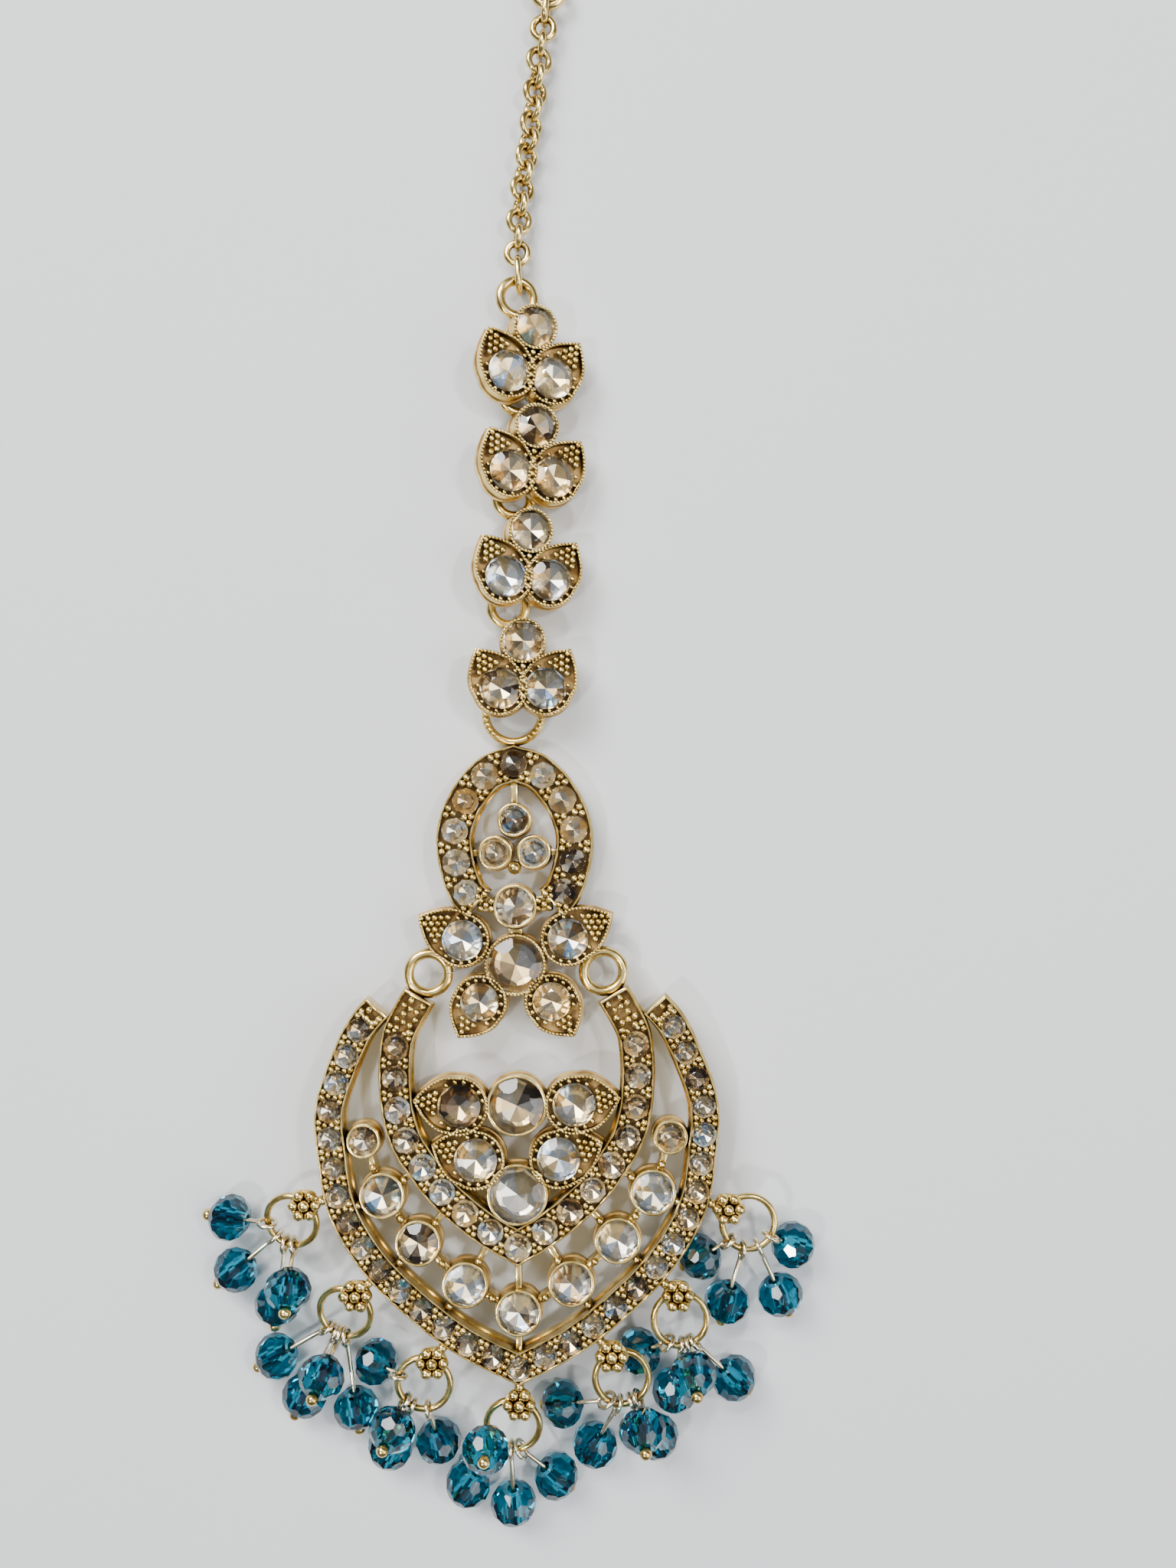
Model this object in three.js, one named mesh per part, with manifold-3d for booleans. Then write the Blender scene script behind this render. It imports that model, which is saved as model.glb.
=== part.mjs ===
// A maang tikka lying face up: hook, chain, four leaf links, a crest, a crescent, jump rings and bead drops.
// Millimetres. +Z is up from the surface it lies on, +Y runs along the jewel towards the hook.
// The layout is drawn on the pendant's own axis (x = 0) and moved to its reference point at the end.
import * as THREE from "three";
import { mergeVertices } from "three/addons/utils/BufferGeometryUtils.js";
import Module from "manifold-3d";

const wasm = await Module();
wasm.setup();

// Castings
const castingThickness = 2.2;
const stoneRise = 0.4;
const tableShare = 0.58;
const stoneFacets = 8;
const cupSides = 10;
const bezelSides = 8;
const leafCurve = 3;
const cupRim = 0.22;
const leafShoulder = THREE.MathUtils.degToRad(75);
const leafControl = { along: 0.58, across: 1.02 };
const pendantTilt = THREE.MathUtils.degToRad(3.4);
const pendantTurn = THREE.MathUtils.degToRad(0.7);

// Crescent: two bands that meet at the top corners, drawn for one half and mirrored
const crescentHalfWidth = 15.6;
const crescentLength = 29.5;
const outerBandWidth = 2.6;
const innerBandWidth = 2.9;
const outerBandSteps = 11;
const innerBandSteps = 8;
const bezelRadius = 1.92;
const bezelBelowBand = 0.1;
const smallBezelRadius = 1.45;
const nearestSteps = 60;
const barWidth = 0.55;
const barDrop = 0.5;

// Shares of crescentHalfWidth across, and of crescentLength down from the outer band's top end
const outerBandLine = [
  { across: 0.742, down: 0.0 },
  { across: 0.85, down: 0.072 },
  { across: 0.965, down: 0.217 },
  { across: 1.0, down: 0.305 },
  { across: 0.985, down: 0.4 },
  { across: 0.93, down: 0.556 },
  { across: 0.763, down: 0.705 },
  { across: 0.531, down: 0.826 },
  { across: 0.285, down: 0.924 },
  { across: 0.0, down: 1.0 },
];
const innerBandLine = [
  { across: 0.52, down: -0.03 },
  { across: 0.615, down: 0.06 },
  { across: 0.643, down: 0.125 },
  { across: 0.647, down: 0.21 },
  { across: 0.631, down: 0.295 },
  { across: 0.584, down: 0.375 },
  { across: 0.496, down: 0.448 },
  { across: 0.396, down: 0.515 },
  { across: 0.264, down: 0.578 },
  { across: 0.14, down: 0.626 },
  { across: 0.0, down: 0.668 },
];
const bezelPlaces = [
  { across: 0.816, down: 0.371, radius: smallBezelRadius },
  { across: 0.718, down: 0.523, radius: bezelRadius },
  { across: 0.528, down: 0.655, radius: bezelRadius },
  { across: 0.28, down: 0.771, radius: bezelRadius },
  { across: 0.0, down: 0.849, radius: bezelRadius },
];

// Lotus inside the inner band: two large round settings and four leaf cups, which grow with the crescent
const lotusRoundRadius = 0.1635 * crescentHalfWidth;
const lotusLeafRadius = 0.157 * crescentHalfWidth;
const lotusLeafTip = 0.2532 * crescentHalfWidth;
const lotusUpperDown = 0.278;
const lotusLowerDown = 0.524;
const lotusLeaves = [
  { across: 0.306, down: 0.277, turn: 8 },
  { across: 0.22, down: 0.427, turn: 20 },
];

// Florets on the rim: along is a share of the outer band's half line, side is -1 left, 1 right, 0 the tip.
// heading is the direction in degrees in which the floret's drop ring leaves it, dip the ring's slope.
const floretRadius = 1.4;
const floretThickness = 0.8;
const floretRise = 0.2;
const floretLobes = 5;
const floretValley = 0.8;
const floretOut = 1.6;
const loopRadius = 0.85;
const loopWire = 0.28;
const flatLoopSides = 6;
const florets = [
  { side: -1, along: 0.44, heading: -130, dip: 18 },
  { side: -1, along: 0.63, heading: -122, dip: 18 },
  { side: -1, along: 0.835, heading: -112, dip: 8 },
  { side: 0, along: 1.0, heading: -106, dip: 12 },
  { side: 1, along: 0.82, heading: -68, dip: 4 },
  { side: 1, along: 0.64, heading: -84, dip: 4 },
  { side: 1, along: 0.455, heading: -38, dip: 4 },
];

// Rings
const dropRingRadius = 2.2;
const dropRingWire = 0.28;
const sideRingRadius = 1.66;
const sideRingWire = 0.43;
const ringSides = 10;
const wireSides = 5;
const channelClearance = 0.18;
const ringRise = 1.15;
const sideRingIn = 0.75;
const sideRingUp = 1.85;

// Crest and flower: the flower spans the gap between the crescent's corners, so it grows with the crescent
const crestBandWidth = 3.2;
const crestHalfWidth = 5.05;
const crestLength = 11.9;
const crestBandLine = [
  { across: 0.0, down: 0.0 },
  { across: 0.42, down: 0.066 },
  { across: 0.79, down: 0.25 },
  { across: 0.985, down: 0.46 },
  { across: 0.98, down: 0.66 },
  { across: 0.82, down: 0.89 },
  { across: 0.62, down: 0.985 },
];
const trefoilRadius = 1.45;
const trefoil = [
  { across: 0.0, down: 0.4 },
  { across: -0.32, down: 0.63 },
  { across: 0.32, down: 0.63 },
];
const neckRadius = 1.85;
const flowerRadius = 0.1654 * crescentHalfWidth;
const petalRadius = 0.1474 * crescentHalfWidth;
const wingTip = 0.2756 * crescentHalfWidth;
const wingTurn = 29;
const wingUp = 2.1;
const wingInset = 0.1891 * crescentHalfWidth;
const flowerAboveRing = 0.67;
const crestBandSteps = 8;
const lowerPetalTip = 0.2244 * crescentHalfWidth;
const lowerPetalTurn = -58;
const lowerPetalAcross = 0.1923 * crescentHalfWidth;
const lowerPetalDown = 0.1955 * crescentHalfWidth;
const neckAboveFlower = 4.85;
const crestBelowNeck = 0.1;
const crestAboveNeck = crestLength + crestBelowNeck;
const bailRadius = 2.4;
const bailWire = 0.38;
const bailAboveCrest = 4.3;

// Leaf links: the top stone is each link's own origin
const linkBase = 2.0;
const linkTop = 4.0;
const linkBezelRadius = 1.9;
const linkBezelAbove = 0.1;
const linkLoopRadius = 1.47;
const linkLoopWire = 0.42;
const linkLoopRise = 1.1;
const linkLoopOffset = { x: -1.2, y: 3.1 };
const leafRadius = 2.3;
const leafTip = 3.95;
const leafTurn = 122;
const leafAcross = 1.88;
const leafBelow = 3.95;
const hookLoopRadius = 1.0;
const hookLoopWire = 0.28;
const hookLoopHalfSlot = 0.5;
const hookLoopPlace = { x: -0.9, y: -4.15 };
const hookLoopRise = 1.15;
// From the crest upwards: forward is the step from the piece below, the angles are in degrees
const linkSteps = [
  { across: 0.74, forward: 6.0, turn: 0, roll: 4 },
  { across: 0.26, forward: 9.2, turn: -3, roll: 12 },
  { across: 0.3, forward: 8.75, turn: -5, roll: 16 },
  { across: -0.1, forward: 8.25, turn: -5, roll: 16 },
];

// Chain and hook
const chainLinkRadius = 0.9;
const chainWire = 0.3;
const chainLinkSides = 10;
const chainContact = 0.06;
const chainTwist = 45;
const connectorHalfSlot = 0.5;
const lastLinkHalfSlot = 0.3;
const chainLinks = 15;
const linkPlay = 0.2;
// The chain's route, from the middle of its connector link
const chainPoints = [
  { x: 0, y: 0 },
  { x: -0.1, y: 2.1 },
  { x: 0.35, y: 7.8 },
  { x: 1.0, y: 12.4 },
  { x: 1.85, y: 19.1 },
  { x: 2.6, y: 24.5 },
];
const hookWire = 0.4;
const hookEyeRadius = 1.25;
const hookBendRadius = 3.1;
const hookShank = 8.5;
const hookPoint = 4.6;
const hookSteps = 9;
const hookSides = 3;

// Bead drops
const beadRadius = 2.0;
const beadBelt = 0.5;
const beadShoulder = 1.55;
const beadHoleFace = 0.95;
const beadSides = 10;
const ballRadius = 0.55;
const ballSeat = 0.7;
const ballBelt = 0.4;
const pinRadius = 0.2;
const pinSides = 5;
const eyeRadius = 0.72;
const eyeWire = 0.2;
const eyeSides = 7;
const eyeClearance = 0.16;

// One row for each drop: at is the place on the ring in degrees from its outer end, and heading is the drop's
// direction seen from above. Reach, from the ring's wire to the bead's middle, and height, from the surface to
// that middle, are in bead radii.
const beadDrops = [
  { ring: 1, at: -40, heading: 175, reach: 1.7, height: 1.0 },
  { ring: 1, at: -5, heading: -140, reach: 2.3, height: 1.0 },
  { ring: 1, at: 40, heading: -88, reach: 1.9, height: 2.6 },
  { ring: 1, at: 20, heading: -98, reach: 2.7, height: 1.0 },
  { ring: 2, at: -15, heading: -148, reach: 2.7, height: 1.0 },
  { ring: 2, at: 5, heading: -116, reach: 3.2, height: 1.0 },
  { ring: 2, at: 15, heading: -112, reach: 1.9, height: 2.9 },
  { ring: 2, at: 30, heading: -84, reach: 3.3, height: 1.0 },
  { ring: 3, at: -25, heading: -120, reach: 1.35, height: 3.1 },
  { ring: 3, at: -5, heading: -116, reach: 2.6, height: 1.0 },
  { ring: 3, at: 30, heading: -80, reach: 2.1, height: 1.0 },
  { ring: 3, at: -85, heading: 174, reach: 1.5, height: 1.0 },
  { ring: 4, at: -20, heading: -122, reach: 2.7, height: 1.0 },
  { ring: 4, at: 10, heading: -89, reach: 2.9, height: 1.0 },
  { ring: 4, at: -55, heading: -10, reach: 1.45, height: 3.7 },
  { ring: 4, at: 30, heading: -48, reach: 2.4, height: 1.0 },
  { ring: 5, at: -55, heading: -160, reach: 2.3, height: 1.0 },
  { ring: 5, at: -30, heading: -113, reach: 2.7, height: 1.0 },
  { ring: 5, at: 0, heading: -62, reach: 2.5, height: 1.0 },
  { ring: 5, at: 15, heading: -80, reach: 1.35, height: 3.2 },
  { ring: 6, at: -5, heading: -95, reach: 2.5, height: 1.0 },
  { ring: 6, at: 25, heading: -48, reach: 2.8, height: 1.0 },
  { ring: 6, at: -35, heading: -145, reach: 1.7, height: 1.0 },
  { ring: 6, at: 10, heading: -80, reach: 1.35, height: 3.1 },
  { ring: 7, at: -65, heading: -103, reach: 2.7, height: 1.0 },
  { ring: 7, at: -30, heading: -66, reach: 2.6, height: 1.0 },
  { ring: 7, at: -100, heading: -140, reach: 1.7, height: 1.0 },
  { ring: 7, at: 5, heading: -30, reach: 1.4, height: 1.0 },
];

const gold = { color: 0xb99a5b, metalness: 1.0, roughness: 0.32 };
const teal = { color: 0x0c5f73, metalness: 0.0, roughness: 0.08 };

const mergeDistance = 1e-4;
const group = new THREE.Group();

// Closed solids for adding and cutting

function solidFrom(geometry) {
  const bare = geometry.index ? geometry.toNonIndexed() : geometry.clone();
  bare.deleteAttribute("normal");
  bare.deleteAttribute("uv");
  const merged = mergeVertices(bare, mergeDistance);
  const corners = merged.index.array;
  const kept = [];
  for (let i = 0; i < corners.length; i += 3) {
    const [a, b, c] = [corners[i], corners[i + 1], corners[i + 2]];
    if (a !== b && b !== c && c !== a) kept.push(a, b, c);
  }
  const made = new wasm.Manifold(
    new wasm.Mesh({
      numProp: 3,
      vertProperties: merged.attributes.position.array,
      triVerts: new Uint32Array(kept),
    }),
  );
  return made;
}

function joined(solids) {
  return solids.reduce((whole, next) => whole.add(next));
}

function addPiece(name, solid, finish) {
  const mesh = solid.getMesh();
  const geometry = new THREE.BufferGeometry();
  geometry.setAttribute("position", new THREE.BufferAttribute(mesh.vertProperties, 3));
  geometry.setIndex(new THREE.BufferAttribute(mesh.triVerts, 1));
  geometry.computeVertexNormals();
  const piece = new THREE.Mesh(geometry, new THREE.MeshStandardMaterial(finish));
  piece.name = name;
  group.add(piece);
  return piece;
}

// Basic shapes

// A profile of [radius, height] pairs turned round the Z axis.
function turned(profile, sides) {
  const points = profile.map(([radius, height]) => new THREE.Vector2(radius, height));
  const geometry = new THREE.LatheGeometry(points, sides);
  geometry.rotateY(Math.PI / sides);
  return geometry.rotateX(Math.PI / 2);
}

// A ring of wire in the XY plane, stretched into a slot along Y where halfSlot is more than 0.
function wireRing(radius, wire, sides, halfSlot = 0) {
  const geometry = new THREE.TorusGeometry(radius, wire, wireSides, sides);
  geometry.rotateZ(Math.PI / sides);
  return stretch(geometry, halfSlot);
}

// Moves both halves of a ring apart along Y, which makes a slot of it.
function stretch(geometry, halfSlot) {
  const position = geometry.attributes.position;
  for (let i = 0; i < position.count; i += 1) {
    position.setY(i, position.getY(i) + Math.sign(position.getY(i)) * halfSlot);
  }
  return geometry;
}

function stoneProfile(radius, base, top) {
  return [
    [0, base],
    [radius, base],
    [radius * tableShare, top],
    [0, top],
  ];
}

// A round setting with its stone: wall, rim, sunken girdle, crown and table.
function roundSetting(radius, base, top, sides = cupSides) {
  const inner = radius - cupRim;
  return turned(
    [
      [0, base],
      [radius, base],
      [radius, top],
      [inner, top],
      [inner * tableShare, top + stoneRise],
      [0, top + stoneRise],
    ],
    sides,
  );
}

// A leaf-shaped cup whose point lies along +X, with a round stone in its wide end.
function leafSetting(radius, tip, base, top) {
  const outline = new THREE.Shape();
  const control = { x: tip * leafControl.along, y: radius * leafControl.across };
  const corner = { x: radius * Math.cos(leafShoulder), y: radius * Math.sin(leafShoulder) };
  outline.moveTo(tip, 0);
  outline.quadraticCurveTo(control.x, control.y, corner.x, corner.y);
  outline.absarc(0, 0, radius, leafShoulder, 2 * Math.PI - leafShoulder, false);
  outline.quadraticCurveTo(control.x, -control.y, tip, 0);
  const wall = { depth: top - base, bevelEnabled: false, curveSegments: leafCurve };
  const cup = new THREE.ExtrudeGeometry(outline, wall);
  cup.translate(0, 0, base);
  const stone = turned(stoneProfile(radius - 2 * cupRim, top - stoneRise, top + stoneRise), stoneFacets);
  return joined([solidFrom(cup), solidFrom(stone)]);
}

// A flat closed loop with a round hole, lying in the XY plane.
function flatLoop(outer, inner, depth) {
  const outline = new THREE.Shape(loopCorners(outer));
  outline.holes.push(new THREE.Path(loopCorners(inner)));
  return new THREE.ExtrudeGeometry(outline, { depth, bevelEnabled: false });
}

function loopCorners(radius) {
  return Array.from({ length: flatLoopSides }, (_, i) => {
    const angle = (2 * Math.PI * (i + 0.5)) / flatLoopSides;
    return new THREE.Vector2(radius * Math.cos(angle), radius * Math.sin(angle));
  });
}

// A flat bar between two points of a plane.
function bar(from, to, base, top) {
  const length = Math.hypot(to.x - from.x, to.y - from.y);
  const box = new THREE.BoxGeometry(length, barWidth, top - base);
  box.rotateZ(Math.atan2(to.y - from.y, to.x - from.x));
  return solidFrom(box.translate((from.x + to.x) / 2, (from.y + to.y) / 2, (base + top) / 2));
}

function placed(solid, x, y, degrees = 0, z = 0) {
  return solid.rotate([0, 0, degrees]).translate([x, y, z]);
}

// Bands: a line for the left half, offset to both sides and mirrored

function bandEdge(line, offset, steps) {
  const edge = [];
  for (let i = 0; i <= steps; i += 1) {
    const at = line.getPointAt(i / steps);
    const along = line.getTangentAt(i / steps);
    const normal = new THREE.Vector2(along.y, -along.x);
    const onAxis = Math.abs(at.x) < mergeDistance;
    const x = onAxis ? 0 : at.x + normal.x * offset;
    const y = onAxis ? at.y + offset / normal.y : at.y + normal.y * offset;
    edge.push(new THREE.Vector2(x, y));
  }
  return edge;
}

function mirroredRow(points) {
  return points.map((point) => new THREE.Vector2(-point.x, point.y)).reverse();
}

// The whole band as one flat body. The line runs from its free end to the axis.
function bandBody(line, width, steps, top) {
  const rims = [bandEdge(line, width / 2, steps), bandEdge(line, -width / 2, steps)];
  const whole = rims.map((rim) => [...rim, ...mirroredRow(rim).slice(1)]);
  const shape = new THREE.Shape([...whole[0], ...whole[1].reverse()]);
  return solidFrom(new THREE.ExtrudeGeometry(shape, { depth: top, bevelEnabled: false }));
}

// Crescent

function crescentPoint(place, side = -1) {
  const x = side * place.across * crescentHalfWidth;
  return new THREE.Vector2(x, -place.down * crescentLength);
}

const outerLine = new THREE.SplineCurve(outerBandLine.map((place) => crescentPoint(place)));
const innerLine = new THREE.SplineCurve(innerBandLine.map((place) => crescentPoint(place)));

// Where a floret sits outside the rim, and the step from it back to the band.
function floretPlace({ side, along }) {
  const at = outerLine.getPointAt(along);
  const tangent = outerLine.getTangentAt(along);
  const out = side === 0 ? new THREE.Vector2(0, -1) : new THREE.Vector2(tangent.y, -tangent.x);
  const reach = outerBandWidth / 2 + floretOut;
  const x = at.x + out.x * reach;
  const y = at.y + out.y * reach;
  const mirror = side > 0 ? -1 : 1;
  return { x: x * mirror, y, backX: (at.x - x) * mirror, backY: at.y - y };
}

// A lobed cap of granules over a closed loop that stands upright behind it.
function floret(row) {
  const place = floretPlace(row);
  const outline = new THREE.Shape();
  for (let i = 0; i < 2 * floretLobes; i += 1) {
    const angle = (Math.PI * i) / floretLobes;
    const radius = i % 2 ? floretRadius * floretValley : floretRadius;
    const point = [radius * Math.cos(angle), radius * Math.sin(angle)];
    if (i === 0) outline.moveTo(...point);
    else outline.lineTo(...point);
  }
  const cap = new THREE.ExtrudeGeometry(outline, { depth: floretThickness, bevelEnabled: false });
  const capTop = castingThickness + floretRise;
  cap.translate(0, 0, capTop - floretThickness);
  const loop = flatLoop(loopRadius + loopWire, loopRadius - loopWire, 2 * loopWire);
  loop.rotateX(Math.PI / 2);
  loop.translate(0, loopWire, ringRise);
  loop.rotateZ(THREE.MathUtils.degToRad(row.heading));
  const stemEnd = { x: place.backX, y: place.backY };
  const stem = bar({ x: 0, y: 0 }, stemEnd, capTop - floretThickness, castingThickness);
  return placed(joined([solidFrom(cap), solidFrom(loop), stem]), place.x, place.y);
}

function lotus(top) {
  const settings = [lotusUpperDown, lotusLowerDown].map((down) => {
    const at = crescentPoint({ across: 0, down });
    return placed(solidFrom(roundSetting(lotusRoundRadius, 0, top)), at.x, at.y);
  });
  for (const leaf of lotusLeaves) {
    for (const side of [1, -1]) {
      const at = crescentPoint(leaf, side);
      const turn = side > 0 ? leaf.turn : 180 - leaf.turn;
      settings.push(placed(leafSetting(lotusLeafRadius, lotusLeafTip, 0, top), at.x, at.y, turn));
    }
  }
  return settings;
}

function crescentFrame() {
  const top = castingThickness;
  const barTop = top - barDrop;
  const pieces = [
    bandBody(outerLine, outerBandWidth, outerBandSteps, top),
    bandBody(innerLine, innerBandWidth, innerBandSteps, top),
    ...lotus(top),
  ];
  const bezels = [];
  for (const side of [-1, 1]) {
    for (const place of bezelPlaces) {
      if (place.across === 0 && side > 0) continue;
      bezels.push({ ...crescentPoint(place, side), radius: place.radius });
    }
  }
  for (const bezel of bezels) {
    const setting = roundSetting(bezel.radius, 0, top - bezelBelowBand, bezelSides);
    pieces.push(placed(solidFrom(setting), bezel.x, bezel.y));
  }
  const leftRow = bezels.slice(0, bezelPlaces.length);
  for (const side of [-1, 1]) {
    for (let i = 0; i + 1 < leftRow.length; i += 1) {
      const from = { x: -side * leftRow[i].x, y: leftRow[i].y };
      const to = { x: -side * leftRow[i + 1].x, y: leftRow[i + 1].y };
      pieces.push(bar(from, to, 0, barTop));
    }
    for (const bezel of leftRow.slice(1, -1)) {
      const ends = nearestOnBands(bezel).map((point) => ({ x: -side * point.x, y: point.y }));
      pieces.push(bar(ends[0], ends[1], 0, barTop));
    }
  }
  const axis = [innerLine.getPointAt(1), outerLine.getPointAt(1)];
  pieces.push(bar(crescentPoint({ across: 0, down: lotusLowerDown }), axis[1], 0, barTop));
  pieces.push(...florets.map(floret));
  const channels = [1, -1].map((side) => ringChannel(sideRingPlace(side), sideRingRadius, sideRingWire));
  return joined(pieces).subtract(joined(channels));
}

// The nearest points of both band lines to a setting between them.
function nearestOnBands(point) {
  return [outerLine, innerLine].map((line) => {
    let best = line.getPointAt(0);
    for (let i = 0; i <= nearestSteps; i += 1) {
      const at = line.getPointAt(i / nearestSteps);
      if (at.distanceTo(point) < best.distanceTo(point)) best = at;
    }
    return best;
  });
}

// The corner where both bands meet, which the side ring passes through.
function crescentCorner(side) {
  const inner = innerLine.getPointAt(0);
  return { x: -side * inner.x, y: inner.y };
}

function sideRingPlace(side) {
  const corner = crescentCorner(side);
  return { x: corner.x - side * sideRingIn, y: corner.y + sideRingUp };
}

// The space that a ring of wire needs to pass through a casting.
function ringChannel(place, radius, wire) {
  const geometry = wireRing(radius, wire + channelClearance, ringSides);
  return solidFrom(geometry.translate(place.x, place.y, ringRise));
}

function sideRing(side) {
  const place = sideRingPlace(side);
  const geometry = wireRing(sideRingRadius, sideRingWire, ringSides);
  return solidFrom(geometry.translate(place.x, place.y, ringRise));
}

// A drop ring leaves its floret's loop along the heading and slopes down by the dip.
function dropRingPlace(row) {
  const at = floretPlace(row);
  const matrix = new THREE.Matrix4().makeTranslation(at.x, at.y, ringRise);
  matrix.multiply(new THREE.Matrix4().makeRotationZ(THREE.MathUtils.degToRad(row.heading)));
  matrix.multiply(new THREE.Matrix4().makeRotationY(THREE.MathUtils.degToRad(row.dip)));
  return matrix.multiply(new THREE.Matrix4().makeTranslation(dropRingRadius, 0, 0));
}

function dropRing(row) {
  const geometry = wireRing(dropRingRadius, dropRingWire, ringSides);
  return solidFrom(geometry.applyMatrix4(dropRingPlace(row)));
}

// Crest: the flower's middle is the reference, the wings reach the side rings

const wing = sideRingPlace(1);
const flowerMiddle = { x: 0, y: wing.y + flowerAboveRing };
const neck = { x: 0, y: flowerMiddle.y + neckAboveFlower };
const crestTop = { x: 0, y: neck.y + crestAboveNeck };
const bail = { x: 0, y: crestTop.y + bailAboveCrest };

function crestPoint(place, side = -1) {
  return new THREE.Vector2(side * place.across * crestHalfWidth, crestTop.y - place.down * crestLength);
}

const crestLine = new THREE.SplineCurve([...crestBandLine].reverse().map((place) => crestPoint(place)));

function flower(top) {
  const pieces = [placed(solidFrom(roundSetting(flowerRadius, 0, top)), flowerMiddle.x, flowerMiddle.y)];
  for (const side of [1, -1]) {
    const wingAt = { x: side * (wing.x - wingInset), y: flowerMiddle.y + wingUp };
    const wingAngle = side > 0 ? wingTurn : 180 - wingTurn;
    pieces.push(placed(leafSetting(petalRadius, wingTip, 0, top), wingAt.x, wingAt.y, wingAngle));
    pieces.push(bar(flowerMiddle, wingAt, 0, top - barDrop));
    const petalAt = { x: side * lowerPetalAcross, y: flowerMiddle.y - lowerPetalDown };
    const petalAngle = side > 0 ? lowerPetalTurn : 180 - lowerPetalTurn;
    pieces.push(placed(leafSetting(petalRadius, lowerPetalTip, 0, top), petalAt.x, petalAt.y, petalAngle));
  }
  return pieces;
}

function crestFrame() {
  const top = castingThickness;
  const barTop = top - barDrop;
  const pieces = [bandBody(crestLine, crestBandWidth, crestBandSteps, top), ...flower(top)];
  for (const place of trefoil) {
    const at = crestPoint({ across: Math.abs(place.across), down: place.down }, Math.sign(place.across) || 1);
    pieces.push(placed(solidFrom(roundSetting(trefoilRadius, 0, top, bezelSides)), at.x, at.y));
    const edge = place.across === 0 ? crestTop : { x: Math.sign(place.across) * crestHalfWidth, y: at.y };
    pieces.push(bar(at, edge, 0, barTop));
  }
  pieces.push(placed(solidFrom(roundSetting(neckRadius, 0, top)), neck.x, neck.y));
  pieces.push(bar(neck, flowerMiddle, 0, barTop));
  const loop = wireRing(bailRadius, bailWire, ringSides);
  pieces.push(solidFrom(loop.translate(bail.x, bail.y, ringRise)));
  const channels = [1, -1].map((side) => ringChannel(sideRingPlace(side), sideRingRadius, sideRingWire));
  return joined(pieces).subtract(joined(channels));
}

// Leaf links

function hookLoop() {
  const geometry = flatLoop(hookLoopRadius + hookLoopWire, hookLoopRadius - hookLoopWire, 2 * hookLoopWire);
  stretch(geometry, hookLoopHalfSlot);
  geometry.rotateY(Math.PI / 2);
  return solidFrom(geometry.translate(hookLoopPlace.x - hookLoopWire, hookLoopPlace.y, hookLoopRise));
}

function leafLink() {
  const loop = wireRing(linkLoopRadius, linkLoopWire, chainLinkSides);
  loop.translate(linkLoopOffset.x, linkLoopOffset.y, linkLoopRise);
  const bezelBase = linkLoopRise - linkLoopWire;
  const topSetting = roundSetting(linkBezelRadius, bezelBase, linkTop + linkBezelAbove);
  const pieces = [solidFrom(topSetting), solidFrom(loop), hookLoop()];
  for (const side of [1, -1]) {
    const turn = side > 0 ? 180 - leafTurn : leafTurn;
    const cup = leafSetting(leafRadius, leafTip, linkBase, linkTop);
    pieces.push(placed(cup, side * leafAcross, -leafBelow, turn));
  }
  return joined(pieces);
}

// Each link is turned on the surface and rolled about the line through its loops.
function linkGroup(place, row) {
  const roll = new THREE.Matrix4().makeTranslation(hookLoopPlace.x, 0, linkLoopRise);
  roll.multiply(new THREE.Matrix4().makeRotationY(THREE.MathUtils.degToRad(row.roll)));
  roll.multiply(new THREE.Matrix4().makeTranslation(-hookLoopPlace.x, 0, -linkLoopRise));
  const turn = new THREE.Matrix4().makeRotationZ(THREE.MathUtils.degToRad(row.turn));
  return new THREE.Matrix4().makeTranslation(place.x, place.y, 0).multiply(turn).multiply(roll);
}

// Chain: each link at a quarter turn to the last, along a smooth line through the chosen points

const wireFlat = Math.cos(Math.PI / wireSides);
const chainPitch = 2 * (chainLinkRadius - chainWire * wireFlat) + chainContact;
const lastLinkAt = connectorHalfSlot + (chainLinks + 1) * chainPitch + lastLinkHalfSlot;
const chainLine = new THREE.CatmullRomCurve3(chainPoints.map(({ x, y }) => new THREE.Vector3(x, y, 0)));

function chainPlace(distance) {
  const share = distance / chainLine.getLength();
  const at = chainLine.getPointAt(share);
  const along = chainLine.getTangentAt(share);
  const place = new THREE.Matrix4().makeRotationZ(Math.atan2(along.y, along.x) - Math.PI / 2);
  return place.setPosition(at.x, at.y, chainLinkRadius + chainWire);
}

function chainLink(distance, roll, halfSlot = 0) {
  const geometry = wireRing(chainLinkRadius, chainWire, chainLinkSides, halfSlot);
  return solidFrom(geometry.rotateY(roll).applyMatrix4(chainPlace(distance)));
}

// The connector stands upright through the first leaf link's loop, and the twist swells and fades.
function chain() {
  const links = [chainLink(0, Math.PI / 2, connectorHalfSlot)];
  for (let i = 1; i <= chainLinks; i += 1) {
    const twist = THREE.MathUtils.degToRad(chainTwist * Math.sin((Math.PI * (i - 1)) / (chainLinks - 1)));
    links.push(chainLink(connectorHalfSlot + i * chainPitch, ((i - 1) % 2) * (Math.PI / 2) + twist));
  }
  links.push(chainLink(lastLinkAt, Math.PI / 2, lastLinkHalfSlot));
  return joined(links);
}

// Bead drops: the bead on its pin, drawn along +Z from the eye loop at the origin

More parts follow.
